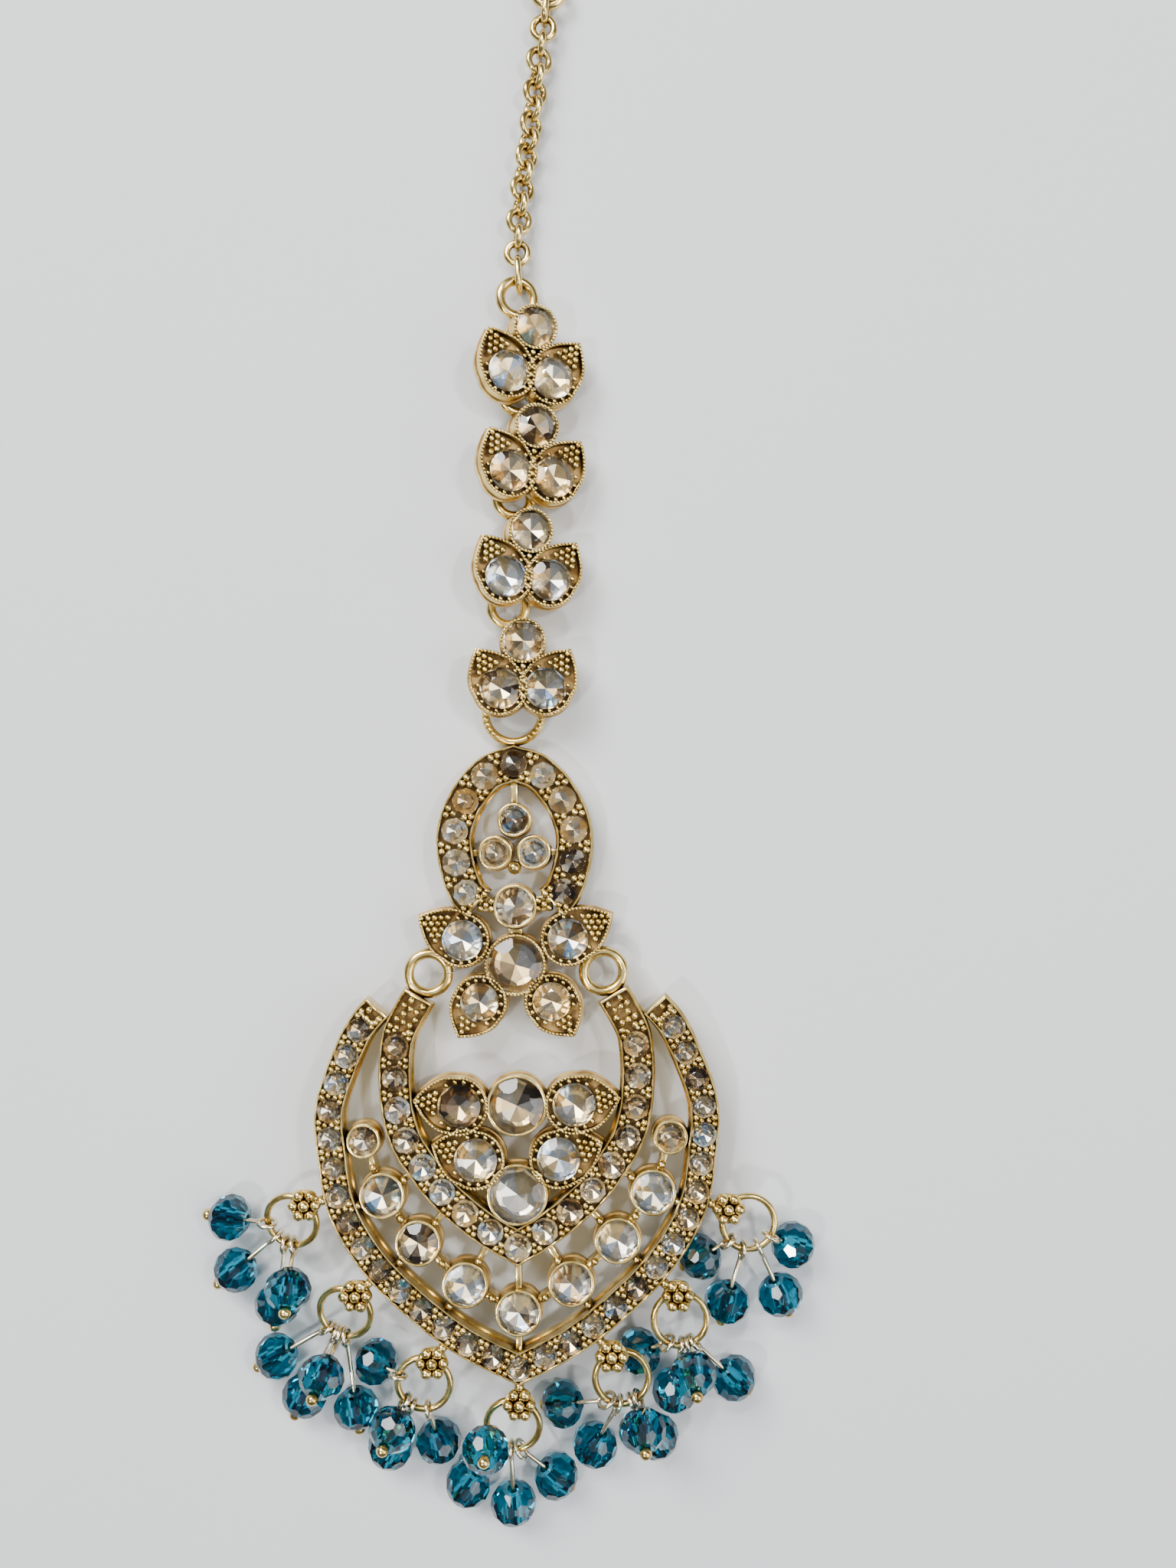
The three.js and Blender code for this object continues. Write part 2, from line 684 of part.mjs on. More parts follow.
function beadOnPin(pinLength) {
  const middle = eyeRadius + pinLength + beadShoulder;
  const bead = turned(
    [
      [0, middle - beadShoulder],
      [beadHoleFace, middle - beadShoulder],
      [beadRadius, middle - beadBelt],
      [beadRadius, middle + beadBelt],
      [beadHoleFace, middle + beadShoulder],
      [0, middle + beadShoulder],
    ],
    beadSides,
  );
  const pin = turned(
    [
      [0, eyeRadius],
      [pinRadius, eyeRadius],
      [pinRadius, middle],
      [0, middle],
    ],
    pinSides,
  );
  const ballAt = middle + beadShoulder + ballRadius * ballSeat;
  const ball = turned(
    [
      [0, ballAt - ballRadius],
      [ballRadius, ballAt - ballRadius * ballBelt],
      [ballRadius, ballAt + ballRadius * ballBelt],
      [0, ballAt + ballRadius],
    ],
    pinSides,
  );
  const eye = wireRing(eyeRadius, eyeWire, eyeSides);
  eye.rotateX(Math.PI / 2);
  return joined([bead, pin, ball, eye].map(solidFrom));
}

// Each drop starts where its eye goes round the ring's wire and ends at its bead's middle.
function beadDrop(row) {
  const ringPlace = pendantPlace.clone().multiply(dropRingPlace(florets[row.ring - 1]));
  const at = THREE.MathUtils.degToRad(row.at);
  const heading = THREE.MathUtils.degToRad(row.heading);
  const wire = new THREE.Vector3(Math.cos(at), Math.sin(at), 0).multiplyScalar(dropRingRadius);
  wire.applyMatrix4(ringPlace);
  const reach = row.reach * beadRadius;
  const rise = row.height * beadRadius - wire.z;
  const level = Math.sqrt(Math.max(reach * reach - rise * rise, 0));
  const along = new THREE.Vector3(level * Math.cos(heading), level * Math.sin(heading), rise).normalize();
  const ringTangent = new THREE.Vector3(-Math.sin(at), Math.cos(at), 0).transformDirection(ringPlace);
  const flat = ringTangent.addScaledVector(along, -ringTangent.dot(along)).normalize();
  const third = new THREE.Vector3().crossVectors(along, flat);
  const frame = new THREE.Matrix4().makeBasis(third.negate(), flat, along);
  const slack = eyeRadius - eyeWire - dropRingWire - eyeClearance;
  frame.setPosition(wire.addScaledVector(along, slack));
  const pinLength = reach - slack - eyeRadius - beadShoulder;
  return { solid: beadOnPin(pinLength), frame };
}

// Hair hook: a closed eye, a straight shank and a round bend that ends in a free point

class HookLine extends THREE.Curve {
  getPoint(share, target = new THREE.Vector3()) {
    const bend = Math.PI * hookBendRadius;
    const length = hookShank + bend + hookPoint;
    const run = share * length;
    if (run < hookShank) return target.set(0, run, 0);
    if (run < hookShank + bend) {
      const angle = (run - hookShank) / hookBendRadius;
      const across = hookBendRadius * (1 - Math.cos(angle));
      return target.set(across, hookShank + hookBendRadius * Math.sin(angle), 0);
    }
    return target.set(2 * hookBendRadius, length - run + hookShank - hookPoint, 0);
  }
}

function hairHook() {
  const section = new THREE.Shape();
  section.absarc(0, 0, hookWire, 0, 2 * Math.PI, false);
  const wire = new THREE.ExtrudeGeometry(section, {
    steps: hookSteps,
    curveSegments: hookSides,
    extrudePath: new HookLine(),
  });
  wire.translate(0, hookEyeRadius, 0);
  const eye = wireRing(hookEyeRadius, hookWire, ringSides);
  return joined([solidFrom(wire), solidFrom(eye)]);
}

const pendantPlace = new THREE.Matrix4().makeTranslation(0, bail.y, 0);
pendantPlace.multiply(new THREE.Matrix4().makeRotationZ(pendantTurn));
pendantPlace.multiply(new THREE.Matrix4().makeRotationX(-pendantTilt));
pendantPlace.multiply(new THREE.Matrix4().makeTranslation(0, -bail.y, 0));

function place(piece, matrix) {
  piece.applyMatrix4(matrix);
}

place(addPiece("crescent_frame", crescentFrame(), gold), pendantPlace);
place(addPiece("crest_frame", crestFrame(), gold), pendantPlace);
place(addPiece("side_ring_left", sideRing(-1), gold), pendantPlace);
place(addPiece("side_ring_right", sideRing(1), gold), pendantPlace);
florets.forEach((row, i) => place(addPiece(`drop_ring_${i + 1}`, dropRing(row), gold), pendantPlace));

const dropsOnRing = new Map();
for (const row of beadDrops) {
  const count = (dropsOnRing.get(row.ring) ?? 0) + 1;
  dropsOnRing.set(row.ring, count);
  const drop = beadDrop(row);
  place(addPiece(`bead_drop_${row.ring}_${count}`, drop.solid, teal), drop.frame);
}

const linkPlace = { x: bail.x, y: bail.y };
linkSteps.forEach((row, i) => {
  linkPlace.x += row.across;
  linkPlace.y += row.forward;
  place(addPiece(`leaf_link_${linkSteps.length - i}`, leafLink(), gold), linkGroup(linkPlace, row));
});

const topLoop = new THREE.Vector3(linkLoopOffset.x, linkLoopOffset.y + linkLoopRadius, linkLoopRise);
topLoop.applyMatrix4(linkGroup(linkPlace, linkSteps[linkSteps.length - 1]));
const connectorStep = connectorHalfSlot + chainLinkRadius - linkLoopWire - chainWire - linkPlay;
const chainStart = new THREE.Matrix4().makeTranslation(topLoop.x, topLoop.y + connectorStep, 0);
place(addPiece("chain", chain(), gold), chainStart);

const eyeStep = chainLinkRadius + lastLinkHalfSlot - chainWire - hookWire - linkPlay + hookEyeRadius;
const hookPlace = chainStart.clone().multiply(chainPlace(lastLinkAt));
hookPlace.multiply(new THREE.Matrix4().makeTranslation(0, eyeStep, 0));
place(addPiece("hair_hook", hairHook(), gold), hookPlace);

// The reference point: the middle of the jewel's box, on the surface it lies on
group.updateMatrixWorld(true);
const extent = new THREE.Box3().setFromObject(group, true);
const middle = extent.getCenter(new THREE.Vector3());
group.position.set(-middle.x, -middle.y, -extent.min.z);

export default group;
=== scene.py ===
"""A maang tikka lying face up: cast gold frames set with cut stones, and glass bead drops on rings.

Everything is modelled in millimetres in the layout's own axes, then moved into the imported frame, in metres.
"""

import math
import random

import bpy
from mathutils import Matrix, Vector


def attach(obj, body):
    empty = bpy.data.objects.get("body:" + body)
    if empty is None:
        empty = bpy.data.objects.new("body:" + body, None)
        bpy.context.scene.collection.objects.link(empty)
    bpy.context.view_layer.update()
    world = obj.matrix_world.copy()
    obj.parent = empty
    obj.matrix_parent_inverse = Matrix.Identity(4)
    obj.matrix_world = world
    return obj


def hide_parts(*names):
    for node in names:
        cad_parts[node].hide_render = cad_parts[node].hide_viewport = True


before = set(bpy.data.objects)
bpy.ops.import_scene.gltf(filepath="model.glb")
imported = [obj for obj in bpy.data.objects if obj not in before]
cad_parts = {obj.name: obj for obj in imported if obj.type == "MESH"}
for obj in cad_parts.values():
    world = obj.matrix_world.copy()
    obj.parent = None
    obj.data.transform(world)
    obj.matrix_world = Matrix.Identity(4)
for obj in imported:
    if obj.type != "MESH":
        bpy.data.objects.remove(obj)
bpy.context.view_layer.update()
random.seed(7)
bpy.context.tool_settings.mesh_select_mode = (False, False, True)

METRES_PER_MM = 0.001
TO_REFERENCE = Matrix.Translation((0.4219, -27.1923, 0.0755))
TO_FRAME = Matrix.Scale(METRES_PER_MM, 4) @ TO_REFERENCE

# Camera: straight above, as the photograph was taken
CAMERA_PLACE = (0.00674, -0.00853, 0.112)
CAMERA_LENS = 29.9
SENSOR_HEIGHT = 36

# Castings
CASTING_TOP = 2.2
SUNKEN_DEPTH = 0.3
BAR_TOP = CASTING_TOP - 0.5
BAR_WIDTH = 0.55
BAR_EDGE = 0.12
BAR_KNOB = 0.36
WALL_BITE = 0.05
BAND_BITE = 0.2
CLAW_RADIUS = 0.34
CLAW_OUT = 0.25
CLAW_ABOVE = 0.1
PENDANT_TILT = math.radians(3.4)
PENDANT_TURN = math.radians(0.7)

# Cups and leaf outlines
CUP_RIM = 0.22
CUP_SPREAD = 0.1
CUP_LEDGE = 0.14
CUP_WAIST = 0.38
CUP_FLOOR = 0.45
CUP_EDGE = 0.05
OUTLINE_SIDES = 36
LEAF_SHOULDER = math.radians(75)
LEAF_CONTROL = (0.58, 1.02)
LEAF_TIP_SPREAD = 0.12
LEAF_FLOOR_BELOW = 0.75
LEAF_STONE_ARC = (50, 72, 94, 116, 138, 160)
LEAF_GRAIN_IN = 0.13
LEAF_GRAIN_ABOVE = 0.05
LEAF_TIP_IN = 0.22

# Channels of the bands
BAND_WAIST = 0.45
BAND_LEDGE = 0.12
BAND_RIM = 0.18
BAND_FLOOR_BELOW = 0.62
BAND_CORNER = 0.06
BAND_END_IN = 0.12
BAND_END_WALL = 0.26
BAND_END_GAP = 0.35
BAND_RIM_ROW = 0.28
BAND_INNER_ROW = 0.3
BAND_INNER_REACH = 2.6
BAND_GRANULE = 0.27
BAND_GRANULE_PITCH = 0.95
BAND_GRANULE_BELOW = 0.04
BAND_INNER_BELOW = 0.1

# Stones, granules and milgrain
STONE_TABLE = 0.3
STONE_PLAY = 0.02
STONE_HEIGHT = 0.5
BAND_STONE_HEIGHT = 0.42
BAND_STONE_SPREAD = (0.96, 1.03)
GIRDLE_BELOW = 0.12
BAND_GIRDLE_BELOW = 0.08
GRANULE_SPREAD = (0.9, 1.08)
GRAIN_RADIUS = 0.16
GRAIN_SPACING = 1.9
GRAIN_IN = 0.12
GRAIN_ABOVE = 0.04
TIP_GRANULE = 0.28
TIP_ROW_STEP = 0.48
TIP_ROW_PITCH = 0.56
TIP_ROW_END = 0.45
GAP_GRANULE = 0.24
GAP_GRANULE_BELOW = 0.2
GAP_SHARE = 0.55

# Crescent: shares of the half width across, and of the length down
CRESCENT_HALF_WIDTH = 15.6
CRESCENT_LENGTH = 29.5
OUTER_BAND_WIDTH = 2.6
INNER_BAND_WIDTH = 2.9
OUTER_BAND = [
    (0.742, 0.0),
    (0.85, 0.072),
    (0.965, 0.217),
    (1.0, 0.305),
    (0.985, 0.4),
    (0.93, 0.556),
    (0.763, 0.705),
    (0.531, 0.826),
    (0.285, 0.924),
    (0.0, 1.0),
]
INNER_BAND = [
    (0.52, -0.03),
    (0.615, 0.06),
    (0.643, 0.125),
    (0.647, 0.21),
    (0.631, 0.295),
    (0.584, 0.375),
    (0.496, 0.448),
    (0.396, 0.515),
    (0.264, 0.578),
    (0.14, 0.626),
    (0.0, 0.668),
]
BEZELS = [
    {"across": 0.816, "down": 0.371, "radius": 1.45},
    {"across": 0.718, "down": 0.523, "radius": 1.92},
    {"across": 0.528, "down": 0.655, "radius": 1.92},
    {"across": 0.28, "down": 0.771, "radius": 1.92},
    {"across": 0.0, "down": 0.849, "radius": 1.92},
]
BEZELS_BELOW = 0.1
OUTER_STONES = {"count": 31, "first": 2.4, "radius": 1.03}
INNER_STONES = {"count": 17, "first": 4.6, "radius": 1.12}
CORNER_ROWS = {"first": 0.55, "step": 0.62, "outer": 2, "inner": 5}
CORNER_THREE = (-0.55, 0.05, 0.65)
CORNER_TWO = (-0.75, 0.35)
CORNER_GRANULE = 0.3
LOTUS_ROUND_RADIUS = 2.55
LOTUS_ROUNDS = [0.278, 0.524]
LOTUS_LEAF = {"radius": 2.45, "tip": 3.95}
LOTUS_LEAF_STONE = 1.78
LOTUS_LEAVES = [
    {"across": 0.306, "down": 0.277, "turn": 8},
    {"across": 0.22, "down": 0.427, "turn": 20},
]

# Florets on the rim, and the rings that hang from them
FLORET_OUT = 1.6
FLORET_PLATE = {"radius": 1.25, "base": 1.6, "top": 2.0}
FLORET_PETALS = {"count": 6, "out": 0.92, "height": 1.98, "radius": 0.49}
FLORET_EYE = {"height": 2.12, "radius": 0.5}
FLORET_STEM = {"width": 0.7, "base": 1.5, "below": 0.3}
FLORET_KNOB = {"radius": 0.42, "below": 0.35}
LOOP_RADIUS = 0.85
LOOP_WIRE = 0.28
RING_RISE = 1.15
DROP_RING_RADIUS = 2.2
DROP_RING_WIRE = 0.28
FLORETS = [
    {"side": -1, "along": 0.44, "heading": -130, "dip": 18},
    {"side": -1, "along": 0.63, "heading": -122, "dip": 18},
    {"side": -1, "along": 0.835, "heading": -112, "dip": 8},
    {"side": 0, "along": 1.0, "heading": -106, "dip": 12},
    {"side": 1, "along": 0.82, "heading": -68, "dip": 4},
    {"side": 1, "along": 0.64, "heading": -84, "dip": 4},
    {"side": 1, "along": 0.455, "heading": -38, "dip": 4},
]
SIDE_RING_RADIUS = 1.66
SIDE_RING_WIRE = 0.43
SIDE_RING_IN = 0.75
SIDE_RING_UP = 1.85
JUMP_RING_SLIT = 0.05
JUMP_RING_STEPS = 48

# Crest and flower
CREST_BAND_WIDTH = 3.2
CREST_HALF_WIDTH = 5.05
CREST_LENGTH = 11.9
CREST_BAND = [
    (0.0, 0.0),
    (0.42, 0.066),
    (0.79, 0.25),
    (0.985, 0.46),
    (0.98, 0.66),
    (0.82, 0.89),
    (0.62, 0.985),
]
CREST_STONES = {"count": 11, "first": 1.3, "radius": 1.16}
CREST_GRANULE = 0.31
TREFOIL_RADIUS = 1.45
TREFOIL = [(0.0, 0.4), (-0.32, 0.63), (0.32, 0.63)]
TREFOIL_BAR = 0.62
TREFOIL_KNOB = {"above": 3.25, "radius": 0.6, "below": 0.2}
NECK_RADIUS = 1.85
NECK_BAR = 1.2
NECK_SIDE_BAR = 1.3
NECK_GRANULE = 0.3
NECK_GRANULE_ABOVE = 0.15
NECK_GRANULES = [(0.62, -0.35), (0.62, 0.3), (0.78, -0.05), (0.92, -0.4), (0.92, 0.3)]
FLOWER_RADIUS = 2.58
PETAL_RADIUS = 2.3
WING = {"radius": PETAL_RADIUS, "tip": 4.3}
WING_STONE = 1.7
WING_TURN = 29
WING_UP = 2.1
WING_INSET = 2.95
LOWER_PETAL = {"radius": PETAL_RADIUS, "tip": 3.5}
LOWER_PETAL_STONE = 1.6
LOWER_PETAL_TURN = -58
LOWER_PETAL_ACROSS = 3.0
LOWER_PETAL_DOWN = 3.05
FLOWER_ABOVE_RING = 0.67
NECK_ABOVE_FLOWER = 4.85
CREST_ABOVE_NECK = 12.0
BAIL_ABOVE_CREST = 4.3
BAIL_RADIUS = 2.4
BAIL_WIRE = 0.38
BAIL_GRAINS = {"count": 7, "first": 34, "step": 11, "radius": 0.27, "seat": 0.75}

# Leaf links, measured from each link's top stone
LINK_BASE = 2.0
LINK_TOP = 4.0
LINK_BEZEL_RADIUS = 1.9
LINK_LOOP_RADIUS = 1.47
LINK_LOOP_WIRE = 0.42
LINK_LOOP_RISE = 1.1
LINK_LOOP_AT = Vector((-1.2, 3.1, LINK_LOOP_RISE))
LINK_LEAF = {"radius": 2.3, "tip": 3.95}
LINK_LEAF_STONE = 1.72
LINK_RIB = {"count": 5, "first": -2.1, "step": 0.62, "radius": 0.3, "below": 0.15}
LINK_LEAF_TURN = 122
LINK_LEAF_ACROSS = 1.88
LINK_LEAF_BELOW = 3.95
HOOK_LOOP_RADIUS = 0.86
HOOK_LOOP_WIRE = 0.25
HOOK_LOOP_HALF_SLOT = 0.5
HOOK_LOOP_AT = Vector((-0.9, -4.15, 1.15))
LINK_STEPS = [
    {"across": 0.74, "forward": 6.0, "turn": 0, "roll": 4},
    {"across": 0.26, "forward": 9.2, "turn": -3, "roll": 12},
    {"across": 0.3, "forward": 8.75, "turn": -5, "roll": 16},
    {"across": -0.1, "forward": 8.25, "turn": -5, "roll": 16},
]

# Chain and hook
CHAIN_LINK_RADIUS = 0.9
CHAIN_WIRE = 0.3
CHAIN_LINKS = 15
CHAIN_TWIST = 45
CHAIN_CONTACT = 0.06
CONNECTOR_HALF_SLOT = 0.5
LAST_LINK_HALF_SLOT = 0.3
LINK_PLAY = 0.2
CHAIN_ROUTE = [(0, 0), (-0.1, 2.1), (0.35, 7.8), (1.0, 12.4), (1.85, 19.1), (2.6, 24.5)]
HOOK_WIRE = 0.4
HOOK_EYE_RADIUS = 1.25
HOOK_BEND_RADIUS = 3.1
HOOK_SHANK = 8.5
HOOK_POINT = 4.6
HOOK_BEND_STEPS = 24
HOOK_BEND_FLAT = 0.97
ROUND_WIRE_SHARE = 0.95

# Bead drops
BEAD_RADIUS = 2.0
BEAD_SHOULDER = 1.55
BEAD_WIDEST = 0.965
BALL_RADIUS = 0.52
PIN_RADIUS = 0.2
EYE_RADIUS = 0.72
EYE_WIRE = 0.2
EYE_CLEARANCE = 0.16
EYE_STEPS = 24
EYE_SWEEP = 340
BALL_SEAT = 0.7
PIN_IN_BALL = 0.2
PIN_ABOVE_EYE = 0.12
DROPS_PER_RING = 4
# Ring, place on the ring and heading in degrees, reach and height in bead radii
BEAD_DROPS = [
    (1, -40, 175, 1.7, 1.0),
    (1, -5, -140, 2.3, 1.0),
    (1, 40, -88, 1.9, 2.6),
    (1, 20, -98, 2.7, 1.0),
    (2, -15, -148, 2.7, 1.0),
    (2, 5, -116, 3.2, 1.0),
    (2, 15, -112, 1.9, 2.9),
    (2, 30, -84, 3.3, 1.0),
    (3, -25, -120, 1.35, 3.1),
    (3, -5, -116, 2.6, 1.0),
    (3, 30, -80, 2.1, 1.0),
    (3, -85, 174, 1.5, 1.0),
    (4, -20, -122, 2.7, 1.0),
    (4, 10, -89, 2.9, 1.0),
    (4, -55, -10, 1.45, 3.7),
    (4, 30, -48, 2.4, 1.0),
    (5, -55, -160, 2.3, 1.0),
    (5, -30, -113, 2.7, 1.0),
    (5, 0, -62, 2.5, 1.0),
    (5, 15, -80, 1.35, 3.2),
    (6, -5, -95, 2.5, 1.0),
    (6, 25, -48, 2.8, 1.0),
    (6, -35, -145, 1.7, 1.0),
    (6, 10, -80, 1.35, 3.1),
    (7, -65, -103, 2.7, 1.0),
    (7, -30, -66, 2.6, 1.0),
    (7, -100, -140, 1.7, 1.0),
    (7, 5, -30, 1.4, 1.0),
]

# Selection and copies

FACING_UP = 0.9
FACING_ENDS = 0.99
WELD_WITHIN = 0.001
SHARP_EDGE = math.radians(40)
SHARP_WIRE_EDGE = math.radians(50)
SHARP_BAND_EDGE = math.radians(35)


def only(piece):
    bpy.ops.object.select_all(action="DESELECT")
    piece.select_set(True)
    bpy.context.view_layer.objects.active = piece


def pick_faces(piece, test):
    """Opens the piece for editing with only the faces selected that pass the test."""
    only(piece)
    mesh = piece.data
    for elements in (mesh.vertices, mesh.edges, mesh.polygons):
        elements.foreach_set("select", [False] * len(elements))
    for face in mesh.polygons:
        face.select = test(face)
    bpy.ops.object.mode_set(mode="EDIT")


def close_edit():
    bpy.ops.object.mode_set(mode="OBJECT")
    return bpy.context.object


def faces_up(face):
    return face.normal.z > FACING_UP


def copied(model, place):
    """A copy of a model piece with its own mesh, set at its place."""
    piece = model.copy()
    piece.data = model.data.copy()
    piece.data.transform(place)
    bpy.context.scene.collection.objects.link(piece)
    return piece


def scaled(x, y, z, radius, height=None):
    """The place and size of a copy: radius across and height up, for a model of unit size."""
    up = radius if height is None else height
    return Matrix.Translation((x, y, z)) @ Matrix.Diagonal((radius, radius, up, 1))


def turn(axis, degrees):
    return Matrix.Rotation(math.radians(degrees), 4, axis)


def at(x, y, z=0.0):
    return Matrix.Translation((x, y, z))


def rounded(piece, width, segments=2):
    """Softens the sharp edges and shades the rest smooth."""
    only(piece)
    bevel = piece.modifiers.new("soft_edges", "BEVEL")
    bevel.width = width
    bevel.segments = segments
    bevel.limit_method = "ANGLE"
    bevel.angle_limit = SHARP_EDGE
    bpy.ops.object.modifier_apply(modifier=bevel.name)
    bpy.ops.object.shade_smooth_by_angle(angle=SHARP_EDGE)
    return piece


def outward(piece):
    only(piece)
    bpy.ops.object.mode_set(mode="EDIT")
    bpy.ops.mesh.select_all(action="SELECT")
    bpy.ops.mesh.remove_doubles(threshold=WELD_WITHIN)
    bpy.ops.mesh.normals_make_consistent(inside=False)
    return close_edit()


# Lines: the bands, the chain and the wires follow smooth lines


def smooth_line(points, steps=16, centripetal=False):
    """The points of a Catmull-Rom line through the given ones."""
    ends = [points[0], points[-1]]
    if centripetal:
        ends = [2 * points[0] - points[1], 2 * points[-1] - points[-2]]
    spread = [ends[0], *points, ends[1]]
    line = []
    for a, b, c, d in zip(spread, spread[1:], spread[2:], spread[3:]):
        gaps = [math.sqrt((q - p).length) if centripetal else 1 for p, q in ((a, b), (b, c), (c, d))]
        leave = ((b - a) / gaps[0] - (c - a) / (gaps[0] + gaps[1]) + (c - b) / gaps[1]) * gaps[1]
        arrive = ((c - b) / gaps[1] - (d - b) / (gaps[1] + gaps[2]) + (d - c) / gaps[2]) * gaps[1]
        for i in range(steps):
            t = i / steps
            cubic = (2 * b - 2 * c + leave + arrive) * t**3
            square = (3 * c - 3 * b - 2 * leave - arrive) * t**2
            line.append(cubic + square + leave * t + b)
    line.append(points[-1])
    return line


def length_of(line):
    return sum((b - a).length for a, b in zip(line, line[1:]))


def along(line, distance):
    """The point at a distance along the line, and the line's direction there."""
    for a, b in zip(line, line[1:]):
        step = (b - a).length
        if distance <= step or b is line[-1]:
            direction = (b - a).normalized()
            return a + direction * distance, direction
        distance -= step


def mirrored(half):
    """A half line from its free end to the axis, continued on the other side."""
    return half + [Vector((-p.x, p.y, p.z)) for p in reversed(half[:-1])]


def crescent_point(across, down, side=-1):
    return Vector((side * across * CRESCENT_HALF_WIDTH, -down * CRESCENT_LENGTH, 0))


OUTER_LINE = smooth_line([crescent_point(*row) for row in OUTER_BAND])
INNER_LINE = smooth_line([crescent_point(*row) for row in INNER_BAND])
INNER_END = INNER_LINE[0]
WING_RING = Vector((-INNER_END.x - SIDE_RING_IN, INNER_END.y + SIDE_RING_UP, 0))
FLOWER_AT = Vector((0, WING_RING.y + FLOWER_ABOVE_RING, 0))
NECK_AT = Vector((0, FLOWER_AT.y + NECK_ABOVE_FLOWER, 0))
CREST_TOP = Vector((0, NECK_AT.y + CREST_ABOVE_NECK, 0))
BAIL_AT = Vector((0, CREST_TOP.y + BAIL_ABOVE_CREST, 0))


def crest_point(across, down, side=-1):
    return Vector((side * across * CREST_HALF_WIDTH, CREST_TOP.y - down * CREST_LENGTH, 0))


CREST_LINE = smooth_line([crest_point(*row) for row in reversed(CREST_BAND)])
PENDANT = at(*BAIL_AT) @ Matrix.Rotation(PENDANT_TURN, 4, "Z") @ Matrix.Rotation(-PENDANT_TILT, 4, "X")
PENDANT = PENDANT @ at(*-BAIL_AT)

# Materials: patterns repeat per metre, tones are red, green and blue

MOTTLE_SCALE = 700
MOTTLE_STOPS = (0.36, 0.6)
# Painted shade: the occlusion ramp from the dark shade colour to the full tone
PAINTED_SHADE_STOPS = (0.28, 0.72)
POLISH_SCALE = 3200
POLISH_DEPTH = 0.02
POLISH_STRENGTH = 0.3
FOIL_ROUGHNESS = 0.14
CLOUD_SCALE = 260
CLOUD_STOPS = (0.35, 0.65)
# Painted glints and dark facets: the foil's colour per facet, from dark through gold and white to blue,
# stands in for the sparkle of reflected light
PAINTED_FOIL_GLINTS = [
    (0.0, (0.09, 0.06, 0.035)),
    (0.14, (0.42, 0.29, 0.15)),
    (0.32, (0.98, 0.72, 0.33)),
    (0.52, (0.86, 0.84, 0.80)),
    (0.7, (1.0, 0.78, 0.40)),
    (0.88, (1.0, 0.99, 0.96)),
    (1.0, (0.40, 0.66, 1.0)),
]


def new_material(name):
    material = bpy.data.materials.new(name)
    material.use_nodes = True
    return material, material.node_tree.nodes, material.node_tree.links


def colour_ramp(nodes, stops):
    ramp = nodes.new("ShaderNodeValToRGB")
    elements = ramp.color_ramp.elements
    while len(elements) < len(stops):
        elements.new(0.5)
    for element, (position, colour) in zip(elements, stops):
        element.position = position
        element.color = (*colour, 1)
    return ramp


def metal_with_painted_shade(name, painted_shade, middle, bright, roughness, painted_shade_reach):
    """Metal with painted shade: mottled at random, bright on the open raised edges, and painted dark by
    ambient occlusion in the recesses.
    """
    material, nodes, links = new_material(name)
    shader = nodes["Principled BSDF"]
    shader.inputs["Metallic"].default_value = 1.0
    place = nodes.new("ShaderNodeTexCoord")
    mottle = nodes.new("ShaderNodeTexNoise")
    mottle.inputs["Scale"].default_value = MOTTLE_SCALE
    mottle.inputs["Detail"].default_value = 6
    links.new(place.outputs["Object"], mottle.inputs["Vector"])
    tone = colour_ramp(nodes, list(zip(MOTTLE_STOPS, (middle, bright))))
    links.new(mottle.outputs["Fac"], tone.inputs["Fac"])
    # Painted shade: ambient occlusion darkens the colour where nearby metal hems the surface in
    painted_shade_occlusion = nodes.new("ShaderNodeAmbientOcclusion")
    painted_shade_occlusion.samples = 6
    painted_shade_occlusion.inputs["Distance"].default_value = painted_shade_reach * METRES_PER_MM
    depth = colour_ramp(nodes, list(zip(PAINTED_SHADE_STOPS, ((0, 0, 0), (1, 1, 1)))))
    links.new(painted_shade_occlusion.outputs["AO"], depth.inputs["Fac"])
    mix = nodes.new("ShaderNodeMix")
    mix.data_type = "RGBA"
    mix.inputs["A"].default_value = (*painted_shade, 1)
    links.new(depth.outputs["Color"], mix.inputs["Factor"])
    links.new(tone.outputs["Color"], mix.inputs["B"])
    links.new(mix.outputs["Result"], shader.inputs["Base Color"])
    grain = nodes.new("ShaderNodeTexNoise")
    grain.inputs["Scale"].default_value = POLISH_SCALE
    grain.inputs["Detail"].default_value = 3
    links.new(place.outputs["Object"], grain.inputs["Vector"])
    gloss = nodes.new("ShaderNodeMapRange")
    gloss.inputs["To Min"].default_value = roughness[0]
    gloss.inputs["To Max"].default_value = roughness[1]
    links.new(grain.outputs["Fac"], gloss.inputs["Value"])
    links.new(gloss.outputs["Result"], shader.inputs["Roughness"])
    bump = nodes.new("ShaderNodeBump")
    bump.inputs["Strength"].default_value = POLISH_STRENGTH
    bump.inputs["Distance"].default_value = POLISH_DEPTH * METRES_PER_MM
    links.new(grain.outputs["Fac"], bump.inputs["Height"])
    links.new(bump.outputs["Normal"], shader.inputs["Normal"])
    return material


def foil_with_painted_glints():
    """The foiled back of a stone, with painted glints: each facet takes a painted tone, from dark to white or
    a blue flash, from the facet's own value.
    """
    material, nodes, links = new_material("stone_foil_with_painted_glints")
    shader = nodes["Principled BSDF"]
    shader.inputs["Metallic"].default_value = 1.0
    shader.inputs["Roughness"].default_value = FOIL_ROUGHNESS
    tone = nodes.new("ShaderNodeAttribute")
    tone.attribute_name = "facet_painted_glint"
    ramp = colour_ramp(nodes, PAINTED_FOIL_GLINTS)
    links.new(tone.outputs["Fac"], ramp.inputs["Fac"])
    links.new(ramp.outputs["Color"], shader.inputs["Base Color"])
    return material


